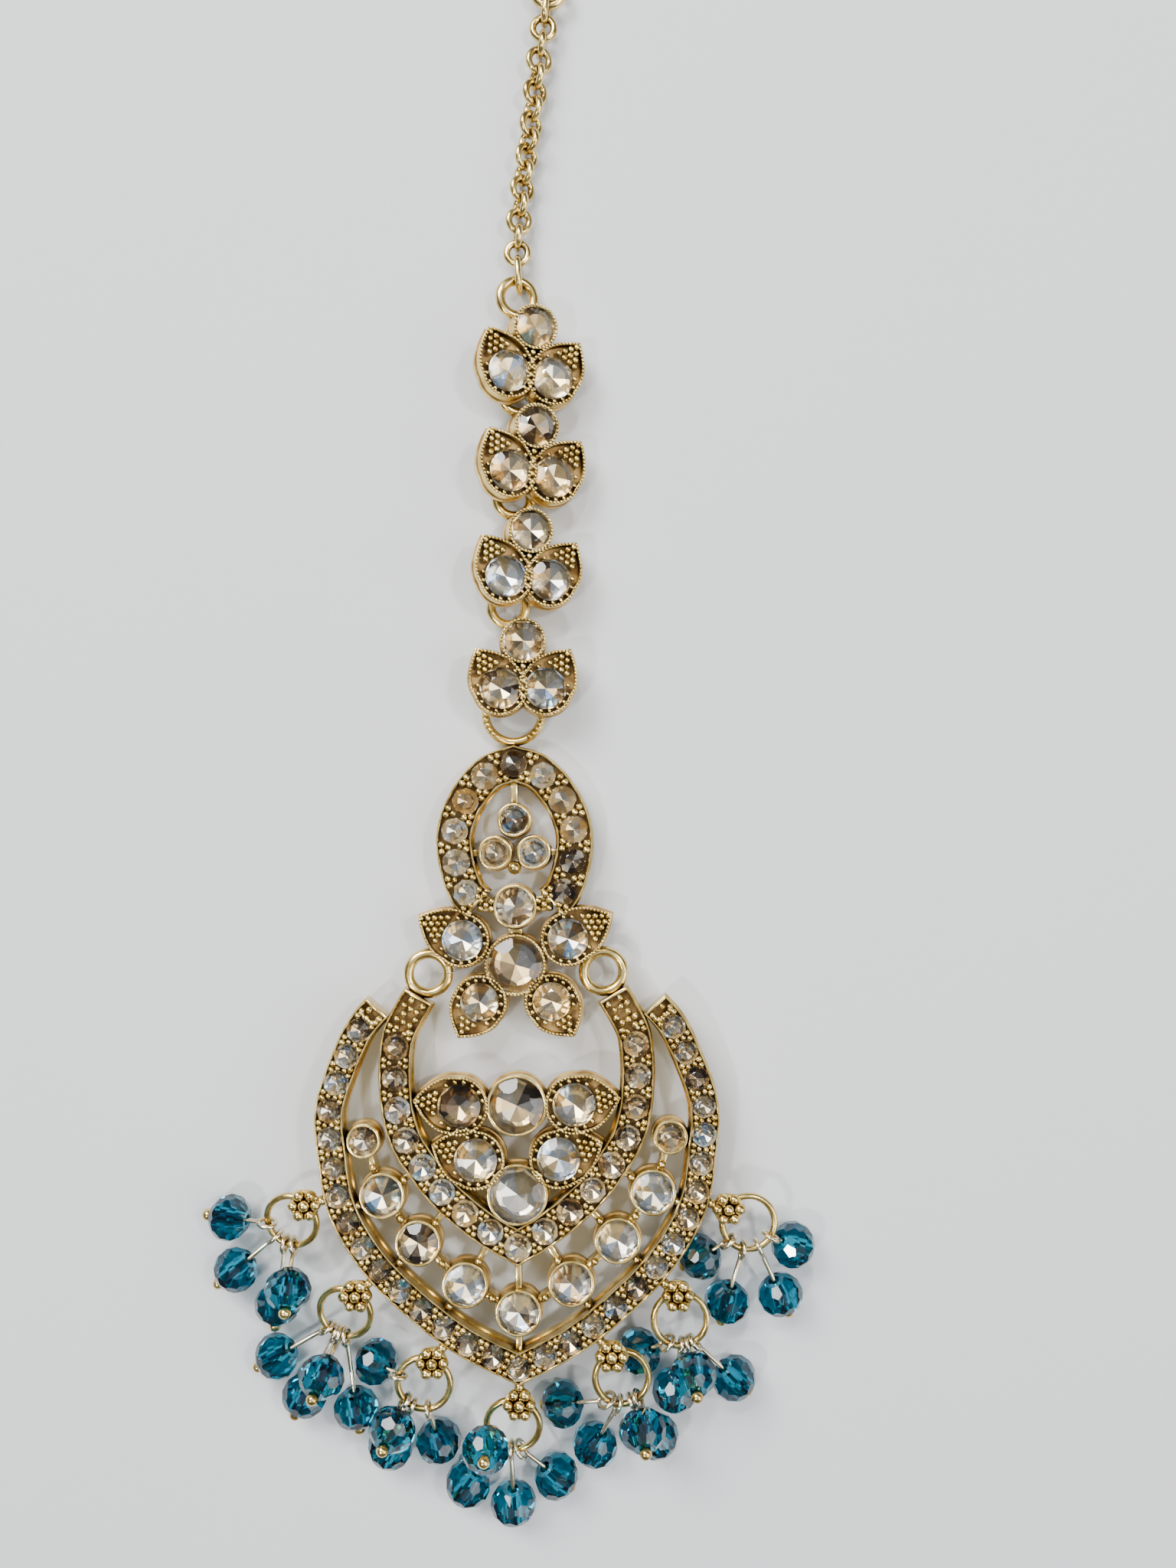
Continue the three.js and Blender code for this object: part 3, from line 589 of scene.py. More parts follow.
def clear_glass(name, shades, ior):
    material, nodes, links = new_material(name)
    shader = nodes["Principled BSDF"]
    shader.inputs["Roughness"].default_value = 0.0
    shader.inputs["IOR"].default_value = ior
    shader.inputs["Transmission Weight"].default_value = 1.0
    place = nodes.new("ShaderNodeTexCoord")
    cloud = nodes.new("ShaderNodeTexNoise")
    cloud.inputs["Scale"].default_value = CLOUD_SCALE
    links.new(place.outputs["Object"], cloud.inputs["Vector"])
    tint = colour_ramp(nodes, list(zip(CLOUD_STOPS, shades)))
    links.new(cloud.outputs["Fac"], tint.inputs["Fac"])
    links.new(tint.outputs["Color"], shader.inputs["Base Color"])
    return material


# The dark first colours of these three golds are painted shade, mixed in by ambient occlusion in the hollows
GOLD = metal_with_painted_shade(
    "gold_with_painted_shade",
    painted_shade=(0.07, 0.04, 0.012),
    middle=(0.56, 0.38, 0.105),
    bright=(0.94, 0.72, 0.28),
    roughness=(0.14, 0.3),
    painted_shade_reach=0.9,
)
# Painted shade on the sunken floors of cups and channels: a darker, rougher gold where shade falls
PAINTED_SHADE_GOLD = metal_with_painted_shade(
    "gold_in_painted_shade",
    painted_shade=(0.05, 0.025, 0.01),
    middle=(0.20, 0.11, 0.035),
    bright=(0.42, 0.27, 0.10),
    roughness=(0.38, 0.6),
    painted_shade_reach=0.7,
)
WIRE = metal_with_painted_shade(
    "pale_gold_wire",
    painted_shade=(0.22, 0.16, 0.09),
    middle=(0.78, 0.62, 0.38),
    bright=(0.97, 0.87, 0.64),
    roughness=(0.12, 0.26),
    painted_shade_reach=0.4,
)
PAINTED_GLINT_FOIL = foil_with_painted_glints()
CRYSTAL = clear_glass("clear_stone", ((0.96, 0.95, 0.92), (1.0, 1.0, 0.99)), 1.56)
TEAL = clear_glass("teal_glass", ((0.0, 0.16, 0.27), (0.01, 0.30, 0.43)), 1.52)

# Model pieces of unit size, copied wherever they repeat

STONE_FACETS = [
    {"count": 8, "tilt": 33, "distance": 0.545, "start": 0},
    {"count": 16, "tilt": 41, "distance": 0.672, "start": 11.25},
    {"count": 8, "tilt": 19, "distance": 0.456, "start": 22.5},
    {"count": 16, "tilt": 157, "distance": 0.418, "start": 11.25},
    {"count": 8, "tilt": 165, "distance": 0.3, "start": 22.5},
]
FOILED_BELOW = -0.2
ROUGH_BEAD = 1.12
BEAD_SIDES = 10
BEAD_FACETS = [
    {"tilt": 62, "distance": 0.965, "start": 18},
    {"tilt": 38, "distance": 0.9, "start": 0},
]
BEAD_HOLE_RIM = 0.12
BEAD_HOLE_STEP = 0.08
# Painted glints: each foil facet gets a random tone, shifted per stone and capped below white, and some
# stones get a blue flash
PAINTED_GLINT_SHIFT = (-0.18, 0.2)
PAINTED_GLINT_RANGE = (0.0, 0.95)
BRIGHTEST_PAINTED_GLINT = 0.93
BLUE_PAINTED_FLASH = 1.0
BLUE_PAINTED_FLASH_SHARE = 0.12
models = []


def as_model(piece, material=GOLD):
    piece.data.materials.clear()
    piece.data.materials.append(material)
    models.append(piece)
    return piece


def ground_down(count, tilt, distance, start=0.0):
    """Grinds a row of flat facets round the piece in edit mode: tilt is from straight up."""
    lean = math.radians(tilt)
    for i in range(count):
        angle = math.radians(start) + 2 * math.pi * i / count
        level = math.sin(lean)
        normal = Vector((level * math.cos(angle), level * math.sin(angle), math.cos(lean)))
        bpy.ops.mesh.select_all(action="SELECT")
        bpy.ops.mesh.bisect(plane_co=normal * distance, plane_no=normal, use_fill=True, clear_outer=True)


def granule_model(divisions):
    bpy.ops.mesh.primitive_ico_sphere_add(subdivisions=divisions, radius=1)
    bpy.ops.object.shade_smooth()
    return as_model(bpy.context.object)


def cut_stone_model():
    """A round stone of girdle radius 1: table, star, main and break facets over a foiled point."""
    bpy.ops.mesh.primitive_cylinder_add(vertices=32, radius=1, depth=1, location=(0, 0, STONE_TABLE - 0.5))
    bpy.ops.object.mode_set(mode="EDIT")
    for row in STONE_FACETS:
        ground_down(**row)
    stone = close_edit()
    bpy.ops.object.transform_apply(location=True, rotation=True, scale=True)
    as_model(stone, CRYSTAL)
    stone.data.materials.append(PAINTED_GLINT_FOIL)
    tones = stone.data.attributes.new("facet_painted_glint", "FLOAT", "FACE")
    for face in stone.data.polygons:
        face.material_index = 1 if face.normal.z < FOILED_BELOW else 0
        face.use_smooth = False
        tones.data[face.index].value = 0.5
    return stone


def bead_model():
    """A round glass bead ground in rows of facets, with a drilled hole along its axis."""
    bpy.ops.mesh.primitive_uv_sphere_add(segments=24, ring_count=16, radius=ROUGH_BEAD)
    bpy.ops.object.mode_set(mode="EDIT")
    ground_down(BEAD_SIDES, 90, 1.0)
    for row in BEAD_FACETS:
        ground_down(BEAD_SIDES, row["tilt"], row["distance"], row["start"])
        ground_down(BEAD_SIDES, 180 - row["tilt"], row["distance"], row["start"])
    ground_down(1, 0, BEAD_SHOULDER / BEAD_RADIUS)
    ground_down(1, 180, BEAD_SHOULDER / BEAD_RADIUS)
    bead = close_edit()
    widest = max(math.hypot(vertex.co.x, vertex.co.y) for vertex in bead.data.vertices)
    bead.data.transform(Matrix.Diagonal((BEAD_WIDEST / widest, BEAD_WIDEST / widest, 1, 1)))
    pick_faces(bead, lambda face: abs(face.normal.z) > FACING_ENDS)
    bpy.ops.mesh.inset(thickness=BEAD_HOLE_RIM)
    bpy.ops.mesh.inset(thickness=BEAD_HOLE_STEP)
    bpy.ops.mesh.bridge_edge_loops()
    return as_model(close_edit(), TEAL)


GRANULE = granule_model(2)
GRAIN = granule_model(1)
STONE = cut_stone_model()
BEAD = bead_model()

# Parts that castings are made of


def gold_with_painted_floor_shade(piece, floor_below):
    """Gold all over, with painted shade: a darker gold on the sunken floors that face up below a height."""
    piece.data.materials.clear()
    piece.data.materials.append(GOLD)
    # Painted shade: faces that face up and lie below the floor height take the darker gold
    piece.data.materials.append(PAINTED_SHADE_GOLD)
    for face in piece.data.polygons:
        sunken = faces_up(face) and face.center.z < floor_below
        face.material_index = 1 if sunken else 0


def cut_stone(x, y, z, radius, height=STONE_HEIGHT):
    """A stone with its girdle at z and its table at the height above it."""
    place = scaled(x, y, z, radius, height / STONE_TABLE) @ turn("Z", random.uniform(0, 45))
    stone = copied(STONE, place)
    # Painted glints: random tones for each facet of the foil, and now and then a blue flash
    tones = stone.data.attributes["facet_painted_glint"].data
    shade = random.uniform(*PAINTED_GLINT_SHIFT)
    for tone in tones:
        tone.value = min(max(random.uniform(*PAINTED_GLINT_RANGE) + shade, 0.0), BRIGHTEST_PAINTED_GLINT)
    if random.random() < BLUE_PAINTED_FLASH_SHARE:
        tones[-1].value = BLUE_PAINTED_FLASH
    return stone


def granule(x, y, z, radius):
    return copied(GRANULE, scaled(x, y, z, radius * random.uniform(*GRANULE_SPREAD)))


def rail_along(line, closed=False):
    """A flat guide curve through the points of a line."""
    curve = bpy.data.curves.new("rail", "CURVE")
    curve.dimensions = "2D"
    spline = curve.splines.new("POLY")
    spline.points.add(len(line) - 1)
    for point, place in zip(spline.points, line):
        point.co = (place.x, place.y, 0, 1)
    spline.use_cyclic_u = closed
    rail = bpy.data.objects.new("rail", curve)
    bpy.context.scene.collection.objects.link(rail)
    return rail


def grain_row(line, radius, height, closed=False):
    """Milgrain: small equal grains side by side, as an array bent along the line."""
    whole = line + [line[0]] if closed else line
    length = length_of(whole)
    count = max(3, round(length / (GRAIN_SPACING * radius)))
    rail = rail_along(line, closed)
    grain = copied(GRAIN, at(length / count / 2, 0, height) @ Matrix.Scale(radius, 4))
    row = grain.modifiers.new("row", "ARRAY")
    row.use_relative_offset = False
    row.use_constant_offset = True
    row.constant_offset_displace = (length / count, 0, 0)
    row.count = count
    bend = grain.modifiers.new("bend", "CURVE")
    bend.object = rail
    only(grain)
    bpy.ops.object.modifier_apply(modifier=row.name)
    bpy.ops.object.modifier_apply(modifier=bend.name)
    bpy.data.objects.remove(rail)
    return grain


def circle_line(radius, sides=OUTLINE_SIDES):
    steps = [2 * math.pi * i / sides for i in range(sides)]
    return [Vector((radius * math.cos(a), radius * math.sin(a), 0)) for a in steps]


def leaf_line(radius, tip, sides=OUTLINE_SIDES):
    """A leaf outline: a round back, and two curved sides that meet in a tip on +X."""
    corner = Vector((radius * math.cos(LEAF_SHOULDER), radius * math.sin(LEAF_SHOULDER), 0))
    control = Vector((tip * LEAF_CONTROL[0], radius * LEAF_CONTROL[1], 0))
    side = []
    side_steps = sides // 4
    for i in range(side_steps):
        t = i / side_steps
        side.append(Vector((tip, 0, 0)) * (1 - t) ** 2 + control * 2 * t * (1 - t) + corner * t**2)
    back_steps = sides - 2 * side_steps + 1
    sweep = 2 * (math.pi - LEAF_SHOULDER)
    angles = [LEAF_SHOULDER + sweep * i / (back_steps - 1) for i in range(back_steps)]
    back = [Vector((radius * math.cos(a), radius * math.sin(a), 0)) for a in angles]
    return side + back + [Vector((p.x, -p.y, 0)) for p in reversed(side[1:])]


def cup_from(line, base, top, rim=CUP_RIM, ledge=CUP_LEDGE, floor=CUP_FLOOR):
    """A hollow cup on the outline: a stepped wall, a softened rim and a sunken floor."""
    count = len(line)
    middle = (0, 0, (base + top) / 2)
    bpy.ops.mesh.primitive_cylinder_add(vertices=count, radius=1, depth=top - base, location=middle)
    bpy.ops.object.transform_apply(location=True, rotation=True, scale=True)
    cup = bpy.context.object
    for vertex in cup.data.vertices:
        angle = math.atan2(vertex.co.y, vertex.co.x)
        place = line[round(angle / (2 * math.pi) * count) % count]
        vertex.co.x, vertex.co.y = place.x, place.y
    waist = base + CUP_WAIST * (top - base)
    pick_faces(cup, faces_up)
    bpy.ops.transform.translate(value=(0, 0, waist - top))
    bpy.ops.mesh.extrude_region_move()
    bpy.ops.mesh.inset(thickness=ledge)
    bpy.ops.mesh.extrude_region_move(TRANSFORM_OT_translate={"value": (0, 0, top - waist)})
    bpy.ops.mesh.inset(thickness=rim)
    bpy.ops.mesh.extrude_region_move(TRANSFORM_OT_translate={"value": (0, 0, base + floor - top)})
    close_edit()
    outward(cup)
    gold_with_painted_floor_shade(cup, top - SUNKEN_DEPTH)
    return rounded(cup, CUP_EDGE)


def round_cup(x, y, radius, base, top, grains=False):
    """A round setting with its stone, and its milgrain rim where it has one."""
    cup = cup_from(circle_line(radius + CUP_SPREAD), base, top)
    parts = [cup, cut_stone(0, 0, top - GIRDLE_BELOW, radius - CUP_RIM - STONE_PLAY)]
    if grains:
        line = circle_line(radius - GRAIN_IN)
        parts.append(grain_row(line, GRAIN_RADIUS, top + GRAIN_ABOVE, closed=True))
    for part in parts:
        part.data.transform(at(x, y))
    return parts


def leaf_cup(x, y, degrees, leaf, base, top, stone_radius):
    """A leaf setting: milgrain rim, round stone, and granules in the tip."""
    radius, tip = leaf["radius"], leaf["tip"]
    outline = leaf_line(radius + CUP_SPREAD, tip + LEAF_TIP_SPREAD)
    cup = cup_from(outline, base, top, floor=top - base - LEAF_FLOOR_BELOW)
    parts = [cup, cut_stone(0, 0, top - GIRDLE_BELOW, stone_radius)]
    rim_line = leaf_line(radius - LEAF_GRAIN_IN, tip - LEAF_TIP_IN)
    parts.append(grain_row(rim_line, GRAIN_RADIUS, top + LEAF_GRAIN_ABOVE, closed=True))
    first = stone_radius + TIP_GRANULE
    rows = max(1, round((tip - TIP_ROW_END - first) / TIP_ROW_STEP))
    for i in range(rows + 1):
        count = rows + 1 - i
        for k in range(count):
            across = (k - (count - 1) / 2) * TIP_ROW_PITCH
            parts.append(granule(first + i * TIP_ROW_STEP, across, top - GIRDLE_BELOW, TIP_GRANULE))
    gap = radius - CUP_RIM - stone_radius
    out = stone_radius + gap / 2
    grain = min(GAP_GRANULE, GAP_SHARE * gap)
    for degrees_round in LEAF_STONE_ARC:
        angle = math.radians(degrees_round)
        for side in (1, -1):
            spot = (out * math.cos(angle), side * out * math.sin(angle), top - GAP_GRANULE_BELOW)
            parts.append(granule(*spot, grain))
    place = at(x, y) @ turn("Z", degrees)
    for part in parts:
        part.data.transform(place)
    return parts


def wire_along(line, radius, material=GOLD, round_steps=4):
    """A round wire along a line of points, with closed ends."""
    curve = bpy.data.curves.new("wire", "CURVE")
    curve.dimensions = "3D"
    curve.bevel_depth = radius
    curve.bevel_resolution = round_steps
    curve.use_fill_caps = True
    spline = curve.splines.new("POLY")
    spline.points.add(len(line) - 1)
    for point, place in zip(spline.points, line):
        point.co = (*place, 1)
    piece = bpy.data.objects.new("wire", curve)
    bpy.context.scene.collection.objects.link(piece)
    only(piece)
    bpy.ops.object.convert(target="MESH")
    piece = outward(bpy.context.object)
    piece.data.materials.clear()
    piece.data.materials.append(material)
    bpy.ops.object.shade_smooth_by_angle(angle=SHARP_WIRE_EDGE)
    return piece


def ring_wire(radius, wire, half_slot=0.0, steps=(40, 12)):
    """A ring of wire in the flat, drawn out into a slot along Y where half_slot is more than 0."""
    bpy.ops.mesh.primitive_torus_add(
        major_radius=radius, minor_radius=wire, major_segments=steps[0], minor_segments=steps[1]
    )
    ring = bpy.context.object
    for vertex in ring.data.vertices:
        if abs(vertex.co.y) > WELD_WITHIN:
            vertex.co.y += math.copysign(half_slot, vertex.co.y)
    ring.data.materials.append(GOLD)
    bpy.ops.object.shade_smooth()
    return ring


def jump_ring(radius, wire):
    """A ring bent from wire, with the fine slit where its two ends meet."""
    slit = JUMP_RING_SLIT / radius
    sweep = 2 * math.pi - slit
    angles = [slit / 2 + sweep * i / JUMP_RING_STEPS for i in range(JUMP_RING_STEPS + 1)]
    return wire_along([Vector((radius * math.cos(a), radius * math.sin(a), 0)) for a in angles], wire)


def band(line, width, top):
    """A cast band: a channel with two rims, swept along the line."""
    foot = width / 2
    waist = BAND_WAIST * top
    half = foot - BAND_LEDGE
    inner = half - BAND_RIM
    one_side = [
        (foot, 0),
        (foot, waist - BAND_CORNER),
        (foot - BAND_CORNER, waist),
        (half, waist + BAND_CORNER),
        (half, top - BAND_CORNER),
        (half - BAND_CORNER, top),
        (inner + BAND_CORNER, top),
        (inner, top - BAND_CORNER),
        (inner, top - BAND_FLOOR_BELOW),
    ]
    outline = one_side + [(-across, height) for across, height in reversed(one_side)]
    section = rail_along([Vector((across, height, 0)) for across, height in outline], closed=True)
    rail = rail_along(line)
    rail.data.bevel_mode = "OBJECT"
    rail.data.bevel_object = section
    rail.data.use_fill_caps = True
    only(rail)
    bpy.ops.object.convert(target="MESH")
    piece = outward(bpy.context.object)
    gold_with_painted_floor_shade(piece, top - SUNKEN_DEPTH)
    bpy.ops.object.shade_smooth_by_angle(angle=SHARP_BAND_EDGE)
    bpy.data.objects.remove(section)
    return piece


def set_band(half_line, width, stones, grain=BAND_GRANULE):
    """A band with closed ends, its row of stones, and granules in each gap between them."""
    line = mirrored(half_line)
    length = length_of(line)
    parts = [band(line, width, CASTING_TOP)]
    for distance in (BAND_END_IN, length - BAND_END_IN):
        place, direction = along(line, distance)
        across = Vector((direction.y, -direction.x, 0)) * (width / 2 - BAND_END_WALL / 2)
        parts.append(flat_bar(place - across, place + across, CASTING_TOP, BAND_END_WALL))
    pitch = (length - 2 * stones["first"]) / (stones["count"] - 1)
    for k in range(stones["count"]):
        place, _ = along(line, stones["first"] + k * pitch)
        radius = stones["radius"] * random.uniform(*BAND_STONE_SPREAD)
        girdle = CASTING_TOP - BAND_GIRDLE_BELOW
        parts.append(cut_stone(place.x, place.y, girdle, radius, BAND_STONE_HEIGHT))
    for k in range(-1, stones["count"]):
        distance = stones["first"] + (k + 0.5) * pitch
        place, direction = along(line, max(BAND_END_GAP, min(length - BAND_END_GAP, distance)))
        across = Vector((direction.y, -direction.x, 0))
        for side in (-1, 1):
            edge = place + across * side * (width / 2 - BAND_RIM_ROW - grain)
            for shift in (-1, 1):
                spot = edge + direction * shift * grain * BAND_GRANULE_PITCH
                parts.append(granule(spot.x, spot.y, CASTING_TOP - BAND_GRANULE_BELOW, grain))
            inner = place + across * side * (width / 2 - BAND_INNER_ROW - BAND_INNER_REACH * grain)
            parts.append(granule(inner.x, inner.y, CASTING_TOP - BAND_INNER_BELOW, grain))
    return parts


def flat_bar(start, end, top, width=BAR_WIDTH, base=0.0, short=(0.0, 0.0)):
    """A cast bar with softened edges, kept short of its two ends so that it stops in the walls it joins."""
    direction = (end - start).normalized()
    start, end = start + direction * short[0], end - direction * short[1]
    run = end - start
    middle = (start + end) / 2
    bpy.ops.mesh.primitive_cube_add(size=1)
    piece = bpy.context.object
    piece.data.transform(Matrix.Diagonal((run.length, width, top - base, 1)))
    piece.data.materials.append(GOLD)
    rounded(piece, BAR_EDGE)
    heading = Matrix.Rotation(math.atan2(run.y, run.x), 4, "Z")
    piece.data.transform(at(middle.x, middle.y, (base + top) / 2) @ heading)
    return piece


def join_as(node, parts, place=Matrix.Identity(4)):
    """Joins the parts into one piece that stands for the node."""
    bpy.ops.object.select_all(action="DESELECT")
    for part in parts:
        part.select_set(True)
    bpy.context.view_layer.objects.active = parts[0]
    bpy.ops.object.join()
    piece = bpy.context.object
    piece.name = f"{node}_finished"
    piece.data.name = piece.name
    piece.data.transform(TO_FRAME @ place)
    piece.data.update()
    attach(piece, "root")
    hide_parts(node)
    return piece


# Crescent


def floret_at(row):
    """The floret's place outside the rim, and the place on the band that its stem starts from."""
    on_band, direction = along(OUTER_LINE, row["along"] * length_of(OUTER_LINE))
    out = Vector((0, -1, 0)) if row["side"] == 0 else Vector((direction.y, -direction.x, 0))
    place = on_band + out * (OUTER_BAND_WIDTH / 2 + FLORET_OUT)
    if row["side"] > 0:
        place.x, on_band.x = -place.x, -on_band.x
    return place, on_band


def floret(row):
    """Six granules round a seventh on a small plate, with a stem to the band and a loop behind."""
    place, on_band = floret_at(row)
    outline = circle_line(FLORET_PLATE["radius"], 24)
    plate = cup_from(outline, FLORET_PLATE["base"], FLORET_PLATE["top"], rim=0.5, ledge=0.1, floor=0.25)
    parts = [plate, granule(0, 0, FLORET_EYE["height"], FLORET_EYE["radius"])]
    for i in range(FLORET_PETALS["count"]):
        angle = 2 * math.pi * i / FLORET_PETALS["count"]
        x, y = FLORET_PETALS["out"] * math.cos(angle), FLORET_PETALS["out"] * math.sin(angle)
        parts.append(granule(x, y, FLORET_PETALS["height"], FLORET_PETALS["radius"]))
    loop = ring_wire(LOOP_RADIUS, LOOP_WIRE, steps=(24, 8))
    loop.data.transform(at(0, 0, RING_RISE) @ turn("Z", row["heading"]) @ turn("X", 90))
    parts.append(loop)
    for part in parts:
        part.data.transform(at(*place))
    stem_top = CASTING_TOP - FLORET_STEM["below"]
    parts.append(flat_bar(place, on_band, stem_top, FLORET_STEM["width"], FLORET_STEM["base"]))
    neck = place.lerp(on_band, 0.5)
    parts.append(granule(neck.x, neck.y, CASTING_TOP - FLORET_KNOB["below"], FLORET_KNOB["radius"]))
    return parts


def nearest_on(line, place):
    return min(line, key=lambda point: (point - place).length)


def crescent():
    parts = set_band(OUTER_LINE, OUTER_BAND_WIDTH, OUTER_STONES)
    parts += set_band(INNER_LINE, INNER_BAND_WIDTH, INNER_STONES)
    for side in (-1, 1):
        for line, count in ((OUTER_LINE, CORNER_ROWS["outer"]), (INNER_LINE, CORNER_ROWS["inner"])):
            for k in range(count):
                place, direction = along(line, CORNER_ROWS["first"] + CORNER_ROWS["step"] * k)
                across = Vector((direction.y, -direction.x, 0))
                for shift in CORNER_THREE if k % 2 else CORNER_TWO:
                    spot = place + across * shift
                    height = CASTING_TOP - BAND_GIRDLE_BELOW
                    parts.append(granule(-side * spot.x, spot.y, height, CORNER_GRANULE))
    for down in LOTUS_ROUNDS:
        place = crescent_point(0, down)
        parts += round_cup(place.x, place.y, LOTUS_ROUND_RADIUS, 0, CASTING_TOP)
    for leaf in LOTUS_LEAVES:
        for side in (1, -1):
            place = crescent_point(leaf["across"], leaf["down"], side)
            degrees = leaf["turn"] if side > 0 else 180 - leaf["turn"]
            parts += leaf_cup(place.x, place.y, degrees, LOTUS_LEAF, 0, CASTING_TOP, LOTUS_LEAF_STONE)
    for side in (-1, 1):
        places = []
        for row in BEZELS:
            place = crescent_point(row["across"], row["down"], side)
            places.append(place)
            if row["across"] > 0 or side < 0:
                parts += round_cup(place.x, place.y, row["radius"], 0, CASTING_TOP - BEZELS_BELOW)
        walls = [row["radius"] - WALL_BITE for row in BEZELS]
        for start, end, short in zip(places, places[1:], zip(walls, walls[1:])):
            parts.append(flat_bar(start, end, BAR_TOP, short=short))
            middle = (start + end) / 2
            parts.append(granule(middle.x, middle.y, BAR_TOP, BAR_KNOB))
        for row, place in list(zip(BEZELS, places))[1:-1]:
            left = Vector((-abs(place.x), place.y, 0))
            ends = [nearest_on(line, left) for line in (OUTER_LINE, INNER_LINE)]
            ends = [Vector((-side * end.x, end.y, 0)) for end in ends]
            for end, width in zip(ends, (OUTER_BAND_WIDTH, INNER_BAND_WIDTH)):
                short = (row["radius"] - WALL_BITE, width / 2 - BAND_BITE)
                parts.append(flat_bar(place, end, BAR_TOP, short=short))
                knob = place + (end - place).normalized() * (row["radius"] + CLAW_OUT)
                parts.append(granule(knob.x, knob.y, BAR_TOP + CLAW_ABOVE, CLAW_RADIUS))
    tip_bezel = crescent_point(0, BEZELS[-1]["down"])
    tip_wall = BEZELS[-1]["radius"] - WALL_BITE
    parts.append(flat_bar(INNER_LINE[-1], tip_bezel, BAR_TOP, short=(INNER_BAND_WIDTH / 2, tip_wall)))
    parts.append(flat_bar(tip_bezel, OUTER_LINE[-1], BAR_TOP, short=(tip_wall, OUTER_BAND_WIDTH / 2)))
    for row in FLORETS:
        parts += floret(row)
    join_as("crescent_frame", parts, PENDANT)


# Crest and flower


def crest():
    parts = set_band(CREST_LINE, CREST_BAND_WIDTH, CREST_STONES, grain=CREST_GRANULE)
    for across, down in TREFOIL:
        side = math.copysign(1, across)
        place = crest_point(abs(across), down, side)
        parts += round_cup(place.x, place.y, TREFOIL_RADIUS, 0, CASTING_TOP)
        edge = CREST_TOP if across == 0 else Vector((side * CREST_HALF_WIDTH, place.y, 0))
        short = (TREFOIL_RADIUS - WALL_BITE, CREST_BAND_WIDTH / 2 - BAND_BITE)
        parts.append(flat_bar(place, edge, BAR_TOP, TREFOIL_BAR, short=short))
    knob_y = NECK_AT.y + TREFOIL_KNOB["above"]
    parts.append(granule(0, knob_y, CASTING_TOP - TREFOIL_KNOB["below"], TREFOIL_KNOB["radius"]))
    parts += round_cup(0, NECK_AT.y, NECK_RADIUS, 0, CASTING_TOP)
    short = (NECK_RADIUS - WALL_BITE, FLOWER_RADIUS - WALL_BITE)
    parts.append(flat_bar(NECK_AT, FLOWER_AT, BAR_TOP, NECK_BAR, short=short))
    parts += round_cup(0, FLOWER_AT.y, FLOWER_RADIUS, 0, CASTING_TOP, grains=True)
    for side in (1, -1):
        wing = Vector((side * (WING_RING.x - WING_INSET), FLOWER_AT.y + WING_UP, 0))
        wing_turn = WING_TURN if side > 0 else 180 - WING_TURN
        parts += leaf_cup(wing.x, wing.y, wing_turn, WING, 0, CASTING_TOP, WING_STONE)
        petal = Vector((side * LOWER_PETAL_ACROSS, FLOWER_AT.y - LOWER_PETAL_DOWN, 0))
        petal_turn = LOWER_PETAL_TURN if side > 0 else 180 - LOWER_PETAL_TURN
        stone = LOWER_PETAL_STONE
        parts += leaf_cup(petal.x, petal.y, petal_turn, LOWER_PETAL, 0, CASTING_TOP, stone)
        band_end = Vector((-side * CREST_LINE[0].x, CREST_LINE[0].y, 0))
        parts.append(flat_bar(NECK_AT, band_end, BAR_TOP, NECK_SIDE_BAR, short=(NECK_RADIUS - WALL_BITE, 0)))
        for share, shift in NECK_GRANULES:
            spot = NECK_AT.lerp(band_end, share) + Vector((0, shift, 0))
            parts.append(granule(spot.x, spot.y, BAR_TOP + NECK_GRANULE_ABOVE, NECK_GRANULE))
    bail = ring_wire(BAIL_RADIUS, BAIL_WIRE)
    bail.data.transform(at(BAIL_AT.x, BAIL_AT.y, RING_RISE))
    parts.append(bail)
    for side in (-1, 1):
        for i in range(BAIL_GRAINS["count"]):
            angle = math.radians(-90 + side * (BAIL_GRAINS["first"] + BAIL_GRAINS["step"] * i))
            spot = BAIL_AT + Vector((math.cos(angle), math.sin(angle), 0)) * BAIL_RADIUS
            height = RING_RISE + BAIL_WIRE * BAIL_GRAINS["seat"]
            parts.append(granule(spot.x, spot.y, height, BAIL_GRAINS["radius"]))
    join_as("crest_frame", parts, PENDANT)


# Leaf links


def leaf_link(node, place):
    base = LINK_LOOP_RISE - LINK_LOOP_WIRE
    parts = round_cup(0, 0, LINK_BEZEL_RADIUS, base, LINK_TOP + 0.1, grains=True)
    loop = ring_wire(LINK_LOOP_RADIUS, LINK_LOOP_WIRE)
    loop.data.transform(at(*LINK_LOOP_AT))
    behind = ring_wire(HOOK_LOOP_RADIUS, HOOK_LOOP_WIRE, HOOK_LOOP_HALF_SLOT, steps=(24, 8))
    behind.data.transform(at(*HOOK_LOOP_AT) @ turn("Y", 90))
    parts += [loop, behind]
    for side in (1, -1):
        degrees = 180 - LINK_LEAF_TURN if side > 0 else LINK_LEAF_TURN
        leaf_at = Vector((side * LINK_LEAF_ACROSS, -LINK_LEAF_BELOW, 0))
        parts += leaf_cup(leaf_at.x, leaf_at.y, degrees, LINK_LEAF, LINK_BASE, LINK_TOP, LINK_LEAF_STONE)
    for i in range(LINK_RIB["count"]):
        rib_y = LINK_RIB["first"] - LINK_RIB["step"] * i
        parts.append(granule(0, rib_y, LINK_TOP - LINK_RIB["below"], LINK_RIB["radius"]))
    join_as(node, parts, place)


